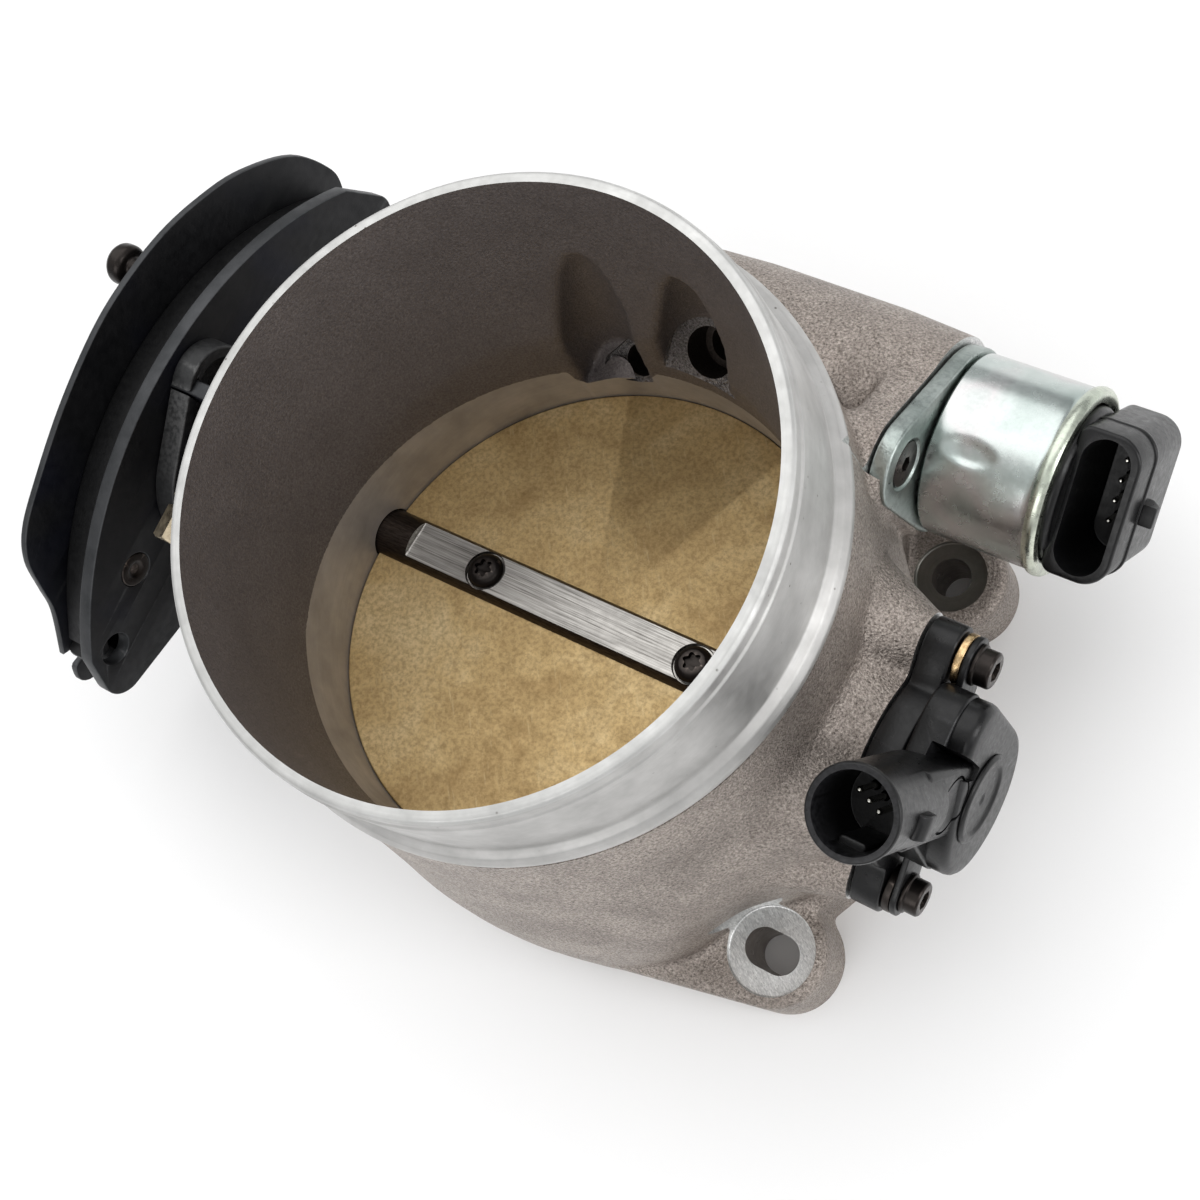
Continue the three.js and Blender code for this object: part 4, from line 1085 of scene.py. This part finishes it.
def threaded(axis, radius, h0, h1, pitch):
    """Threaded rod, as even ridges."""
    profile = [(0, h0), (radius - 0.5, h0)]
    h = h0 + 0.3
    while h + pitch < h1 - 0.3:
        profile += [(radius - 0.32, h), (radius, h + pitch * 0.4), (radius, h + pitch * 0.6)]
        h += pitch
    profile += [(radius - 0.5, h1), (0, h1)]
    return lathe(axis, profile, 0, 48)


AT_STOP = move(STOP_X, 0, STOP_Z)
stop_screw = join(hex_nut("y", 8, -20, -13.5, 0), threaded("y", 2.5, -13.8, 5.7, 0.8))
stop_nut = hex_nut("y", 8, -12, -8.3, 2.75)
piece(stop_screw, "idle_stop_bolt", "idle_stop_screw", [YELLOW], where=AT_STOP)
piece(stop_nut, "idle_stop_locknut", "idle_stop_nut", [YELLOW], where=AT_STOP)

# ---- idle air valve: x from the pad, +Y towards its visible screw ----

VALVE_PINS = (-5.25, -1.75, 1.75, 5.25)
VALVE_PIN_X = 29.8


def valve_flange():
    """Pressed flange with countersunk holes for its two screws."""
    outline = around([(0, 0, 16), (VALVE_SCREW_R, 0, 7.4), (-VALVE_SCREW_R, 0, 7.4)], 72)
    plate = slab("x", [outline, circle(0, 0, 7.3, 64)], 0.3, 3.3, 0.45)
    sunk = [(0, -1), (2.2, -1), (2.2, 1.4), (4.5, 3.2), (4.6, 5), (0, 5)]
    for y in (VALVE_SCREW_R, -VALVE_SCREW_R):
        cut(plate, lathe("x", sunk, 0.15, 64, 0, (0, y, 0)))
    return plate


def valve_can():
    """Drawn can, its mouth rolled over the connector, with an oval staking dimple."""
    foot = [(CAN_R - 0.9, 3.6), (CAN_R - 0.25, 3.85)]
    wall = [(CAN_R, 3.6 + 0.6 * i) for i in range(1, 31)]
    roll = [(0.1, 22.2), (0.45, 22.6), (0.6, 23.2), (0.5, 23.9), (0.1, 24.4), (-0.6, 24.6)]
    inside = [(14.1, 24.4), (13.6, 24.0), (13.6, 23.4), (14.3, 22.8), (14.3, 4.8), (4.6, 4.8)]
    profile = [(4.6, 3.6), *foot, *wall, *[(CAN_R + r, h) for r, h in roll], *inside, (4.6, 3.6)]
    can = lathe("x", profile, 0, 192)
    for v in can.data.vertices:
        if math.hypot(v.co.y, v.co.z) > CAN_R - 0.1 and v.co.x < 21:
            turn = math.degrees(math.atan2(v.co.z, v.co.y)) + 13
            along, across = (v.co.x - 10.8) / 5.2, math.radians(turn) * CAN_R / 2.5
            share = 1 - min(1, math.hypot(along, across)) ** 2
            inner = 1 - 0.034 * share * share * (3 - 2 * share)
            v.co.y *= inner
            v.co.z *= inner
    for polygon in can.data.polygons:
        if polygon.center.x > 22:
            polygon.material_index = 1
    return can


def valve_connector():
    """Round foot in the can's mouth and a D-shaped shell whose socket opens along +Y."""
    shell = around([(10.4, 26.8, 2), (-10.4, 26.8, 2), (7.8, 31, 4.6), (-7.8, 31, 4.6)])
    belt = around([(10.6, 26.6, 2), (-10.6, 26.6, 2), (7.9, 31.2, 4.7), (-7.9, 31.2, 4.7)])
    socket = around([(7.3, 30.2, 4), (-7.3, 30.2, 4)])
    catch = rounded([(34.5, -3), (36.2, -3), (38, -0.6), (38, 1.5), (34.5, 1.5)], 0.4, closed=True)
    body = join(
        slab("y", [shell], -12, 9.5, 0.6),
        lathe("x", [(0, 21), (13.2, 21), (13.2, 24.8), (12.4, 25.5), (0, 25.5)], 0.4, 128),
        slab("z", [catch], -1, 2.5, 0.3),
        slab("y", [belt], 1.2, 2.4, 0.4),
        *[block(24.5, 27.2, -11.6, -6.5, z - 0.6, z + 0.6, 0.25) for z in (-8, 8)],
    )
    cut(body, slab("y", [socket], -9.5, 12, 0.3, 1))
    return cut(body, *[rod("y", 0.8, -11.5, -8, 24, 1, (VALVE_PIN_X, 0, z)) for z in VALVE_PINS])


def flat_head_screw():
    """Flat-head screw, its hexagon recess open to the front."""
    body = lathe("x", [(0, -10), (1.65, -10), (1.65, 1.2), (3.8, 2.9), (3.8, 3.1), (0, 3.1)], 0.1, 64)
    return cut(body, slab("x", [hexagon(2.4)], 1.4, 4, 0.05))


def coil():
    """Winding on a bobbin with two thin flanges."""
    return lathe("x", [
        (9, 5.4), (14, 5.4), (14, 6.2), (13.2, 6.4), (13.2, 19), (14, 19.2), (14, 20), (9, 20), (9, 5.4),
    ], 0.2)


def magnet():
    return sleeve("x", 2.9, 8.4, 6, 18, 0.5)


def nose():
    """Spigot that enters the housing, with a groove for its seal."""
    return lathe("x", [
        (3, -15), (7, -15), (7, -4.4), (6.2, -4.4), (6.2, -2.2), (7, -2.2), (7, 3), (3, 3), (3, -15),
    ], 0.3)


def nose_seal():
    return o_ring(7.85, -3.3, 1.35, 0.8)


def pintle():
    """Rod with a conical head."""
    return lathe("x", [(0, -31), (1.5, -31), (6.2, -22.6), (6.2, -21.6), (2.4, -21), (2.4, 16), (0, 16)], 0.3)


def pintle_spring():
    return spring_wire(-20.1, -15.9, 4.3, 4, 0.45)


SOCKETED = [PLASTIC, PLASTIC_DARK]
for make, name, node, finish, materials, body in (
    (valve_flange, "valve_flange_pressed", "idle_valve_flange", "bright_zinc", [FLANGE_ZINC], "body"),
    (valve_can, "valve_can_drawn", "idle_valve_can", "bright_zinc", [ZINC, ZINC_LIP], "body"),
    (valve_connector, "valve_connector_moulded", "idle_valve_connector", "black_plastic", SOCKETED, "body"),
    (coil, "valve_coil_wound", "idle_valve_coil", "copper_winding", [COPPER], "body"),
    (magnet, "valve_rotor_magnet", "idle_valve_rotor", "magnet", [MAGNET], "rotor"),
    (nose, "valve_nose_turned", "idle_valve_nose", "zinc_steel", [STEEL], "body"),
    (nose_seal, "valve_o_ring", "idle_valve_seal", "seal_rubber", [RUBBER], "body"),
    (pintle, "valve_pintle_turned", "idle_valve_pintle", "zinc_steel", [STEEL], "pintle"),
    (pintle_spring, "valve_spring_wire", "idle_valve_spring", "zinc_steel", [SPRING], "pintle"),
):
    piece(make(), name, node, materials, body, VALVE)
for name, y in (("idle_valve_screw_upper", VALVE_SCREW_R), ("idle_valve_screw_lower", -VALVE_SCREW_R)):
    piece(flat_head_screw(), name + "_head", name, [OXIDE], where=VALVE @ move(0, y, 0))
for i, z in enumerate(VALVE_PINS, 1):
    blade = [(0, -11), (0.5, -11), (0.5, -4.5), (0.25, -4), (0, -4)]
    pin = lathe("y", blade, 0.1, 32, 0, (VALVE_PIN_X, 0, z))
    piece(pin, f"valve_pin_{i}", f"idle_valve_pin_{i}", [TINNED], where=VALVE)

# ---- throttle position sensor ----

SENSOR_X, SENSOR_FRONT_X = 65.1, 74.3
SENSOR_PINS = [(65.9, 1.5), (67.8, 0.6), (69.7, -0.3)]  # in the socket, as x and y
SLEEVE_END_X = 66.4
TAB_X, TAB_END_X, HEAD_X = 66.5, 67.6, 67.7


def sensor_bracket():
    """Bracket between the pad and the sensor, with clear holes for the two screws."""
    outlines = [keyhole(16.5, 5.1, 5), circle(0, 0, 10, 64)]
    sheet = slab("x", outlines, SENSOR_FACE_X + 0.3, SENSOR_X - 0.3, 0.5)
    return cut(sheet, *[rod("x", 2.3, 50, 90, 40, 0, (0, y, z)) for y, z in SENSOR_SCREWS])


def at_socket(obj):
    return turned(obj, SOCKET)


def sensor_body():
    """Moulded body: rounded block, a deck that runs along the socket, and the socket's barrel."""
    base = slab("x", [around([(0, -4.5, 13.2), (7, 11.6, 6.3), (-4, 9.5, 7.5)], 72)], SENSOR_X, 70.6, 0.5)
    front_outline = around([(0, -4.6, 12.9), (7.1, 11.3, 5.9), (5, 3, 7)], 72)
    front = slab("x", [front_outline], 68, SENSOR_FRONT_X, 1.5)
    valley = slab("x", [[(1.4, 8.2), (3.6, 8.2), (3.4, 26), (-4, 26)]], 68.4, 80, 0.3)
    upper = cut(join(base, front), valley)
    deck = at_socket(block(SOCKET_X - 2, 73.6, -6.4, 6.4, 4, 26.5, 0.9))
    barrel_profile = [(0, 20), (7.05, 20), (7.05, 39.9), (7.3, 40.3), (7.1, 41), (0, 41)]
    barrel_shell = at_socket(lathe("z", barrel_profile, 0.3, 96, 0, (SOCKET_X, 0, 0)))
    catch = rounded([(29, 75), (33.2, 75), (33.2, 76.1), (31.8, 77), (29, 77)], 0.5, closed=True)
    body = join(upper, deck, barrel_shell, at_socket(slab("y", [catch], -2, 2, 0.35)))
    cut(body, at_socket(block(50, SENSOR_X, -60, 60, -60, 17.4, 0.05)))
    mouth = lathe("z", [(0, 26), (6, 26), (6, 40.4), (6.3, 42), (0, 42)], 0.2, 96, 1, (SOCKET_X, 0, 0))
    groove = [(4.4, 73.1), (4.9, 73.1), (4.9, 76), (4.4, 76), (4.4, 73.1)]
    arc = at_socket(lathe("x", groove, 0.05, 96, 0, (0, 0, 12.5)))
    holes = [rod("x", 4.9, 55, 90, 64, 0, (0, y, z)) for y, z in SENSOR_SCREWS]
    cut(body, rod("x", 10, 60, 70.8, 64, 1), at_socket(mouth), arc, *holes)
    join(body, at_socket(block(SOCKET_X - 2.2, SOCKET_X + 2.2, -6.3, -4.6, 25, 36, 0.4, 1)))
    return cut(body, *[at_socket(rod("z", 0.8, 20, 27, 24, 1, (x, y, 0))) for x, y in SENSOR_PINS])


def sensor_tab(y, z):
    """Moulded ear that reaches from the body to under one screw's head."""
    outline = around([(y, z, 4.3), (0.66 * y, 0.66 * z, 3.8)])
    ear = slab("x", [outline], TAB_X, TAB_END_X, 0.25)
    return cut(ear, rod("x", 2.1, 60, 75, 40, 0, (0, y, z)))


def socket_head_screw():
    """Cap screw with a hexagon recess and a washer face."""
    profile = [(0, 0), (3.45, 0), (3.45, 0.5), (3.05, 0.7), (3.05, 2.7), (2.75, 3.05), (0, 3.05)]
    head = lathe("x", profile, 0.15, 96)
    return cut(join(head, rod("x", 1.65, -20.8, 0.5, 40)), slab("x", [hexagon(3)], 1.2, 5, 0.05))


def sensor_cover():
    """Round cap with a raised rim and a dimple."""
    return lathe("x", [(r, SENSOR_FRONT_X + h) for r, h in (
        (0, 0), (7.6, 0), (7.6, 0.4), (7.1, 0.8), (6.1, 0.8), (5.6, 0.35), (1.2, 0.35), (0.6, 0.1), (0, 0.1),
    )], 0.2, 128)


def sensor_rotor():
    return cut(rod("x", 9.4, 65.8, 70.6, 64), slab("x", [WHEEL_BORE], 60, 75, 0.05))


piece(sensor_bracket(), "sensor_bracket_moulded", "sensor_bracket", [PLASTIC])
piece(sensor_body(), "sensor_body_moulded", "sensor_body", SOCKETED)
piece(o_ring(9, 60.35, 0.6, 0.75), "sensor_o_ring", "sensor_seal", [RUBBER])
piece(sensor_cover(), "sensor_cover_disc", "sensor_cover", [PLASTIC])
piece(sensor_rotor(), "sensor_rotor_moulded", "sensor_rotor", [WHITE], "throttle")
for side, (y, z), metal, finish in (
    ("upper", SENSOR_SCREWS[0], GOLD_LIP, "yellow_zinc"), ("lower", SENSOR_SCREWS[1], OXIDE, "dark_screw"),
):
    ring, node = sleeve("x", 2.1, 4.3, SENSOR_X, SLEEVE_END_X), f"sensor_sleeve_{side}"
    piece(ring, node + "_turned", node, [metal], where=move(0, y, z))
    node = f"sensor_tab_{side}"
    piece(sensor_tab(y, z), node + "_moulded", node, [PLASTIC])
    node = f"sensor_screw_{side}"
    piece(socket_head_screw(), node + "_head", node, [OXIDE], where=move(HEAD_X, y, z))
for i, (x, y) in enumerate(SENSOR_PINS, 1):
    pin = lathe("z", [(0, 21), (0.5, 21), (0.5, 32.6), (0.25, 33), (0, 33)], 0.1, 32, 0, (x, y, 0))
    piece(pin, f"sensor_pin_{i}_blade", f"sensor_pin_{i}", [TINNED], where=SOCKET)

# ---- floor, lights and camera ----

paper = Paint("paper_floor", 0.0)
tone = paper.ramp(paper.noise(0.004, 2), (0.3, (0.9, 0.9, 0.9, 1)), (0.7, (0.92, 0.92, 0.92, 1)))
paper.bump(paper.noise(0.8, 2), 0.02)
FLOOR = paper.done(tone, 0.8)
floor_mesh = bpy.data.meshes.new("floor")
floor_mesh.from_pydata([(u, v, 0) for u, v in rectangle(-6, 6, -6, 6)], [], [(0, 1, 2, 3)])
floor_mesh.materials.append(FLOOR)
floor = bpy.data.objects.new("floor", floor_mesh)
scene.collection.objects.link(floor)


def soft_light(name, place, target, width, height, power):
    """Rectangular lamp at a place in metres, turned to its target."""
    light = bpy.data.lights.new(name, "AREA")
    light.shape, light.size, light.size_y = "RECTANGLE", width, height
    light.energy = power
    obj = bpy.data.objects.new(name, light)
    scene.collection.objects.link(obj)
    obj.location = place
    obj.rotation_euler = (Vector(target) - Vector(place)).to_track_quat("-Z", "Y").to_euler()


CENTRE = (0, 0.01, 0.05)
soft_light("key", (-0.35, 0.5, 0.95), CENTRE, 1.7, 1.3, 8)
soft_light("side", (0.95, 0.2, 0.5), CENTRE, 0.4, 0.8, 4)
soft_light("fill", (0.1, -0.9, 0.8), CENTRE, 0.9, 0.5, 3)

world = bpy.data.worlds.new("studio")
scene.world = world
world.use_nodes = True
sky = world.node_tree
height = sky.nodes.new("ShaderNodeSeparateXYZ")
sky.links.new(sky.nodes.new("ShaderNodeTexCoord").outputs["Generated"], height.inputs[0])
dome = sky.nodes.new("ShaderNodeValToRGB")
sky.links.new(height.outputs["Z"], dome.inputs[0])
dome.color_ramp.elements[0].color = (0.42, 0.42, 0.43, 1)
dome.color_ramp.elements[1].color = (0.85, 0.85, 0.85, 1)
sky.links.new(dome.outputs[0], sky.nodes["Background"].inputs[0])

VIEW = Vector((-0.446647, 0.090097, -0.890162))
UP = Vector((-0.362802, 0.891212, 0.272242))
camera = bpy.data.cameras.new("camera")
camera.lens, camera.sensor_width, camera.clip_start = 55.82, 36, 0.01
camera_object = bpy.data.objects.new("camera", camera)
scene.collection.objects.link(camera_object)
turn = Matrix((VIEW.cross(UP), UP, -VIEW)).transposed().to_4x4()
turn.translation = (0.14425, -0.024865, 0.332427)
camera_object.matrix_world = turn
scene.camera = camera_object
scene.view_settings.view_transform = "Standard"
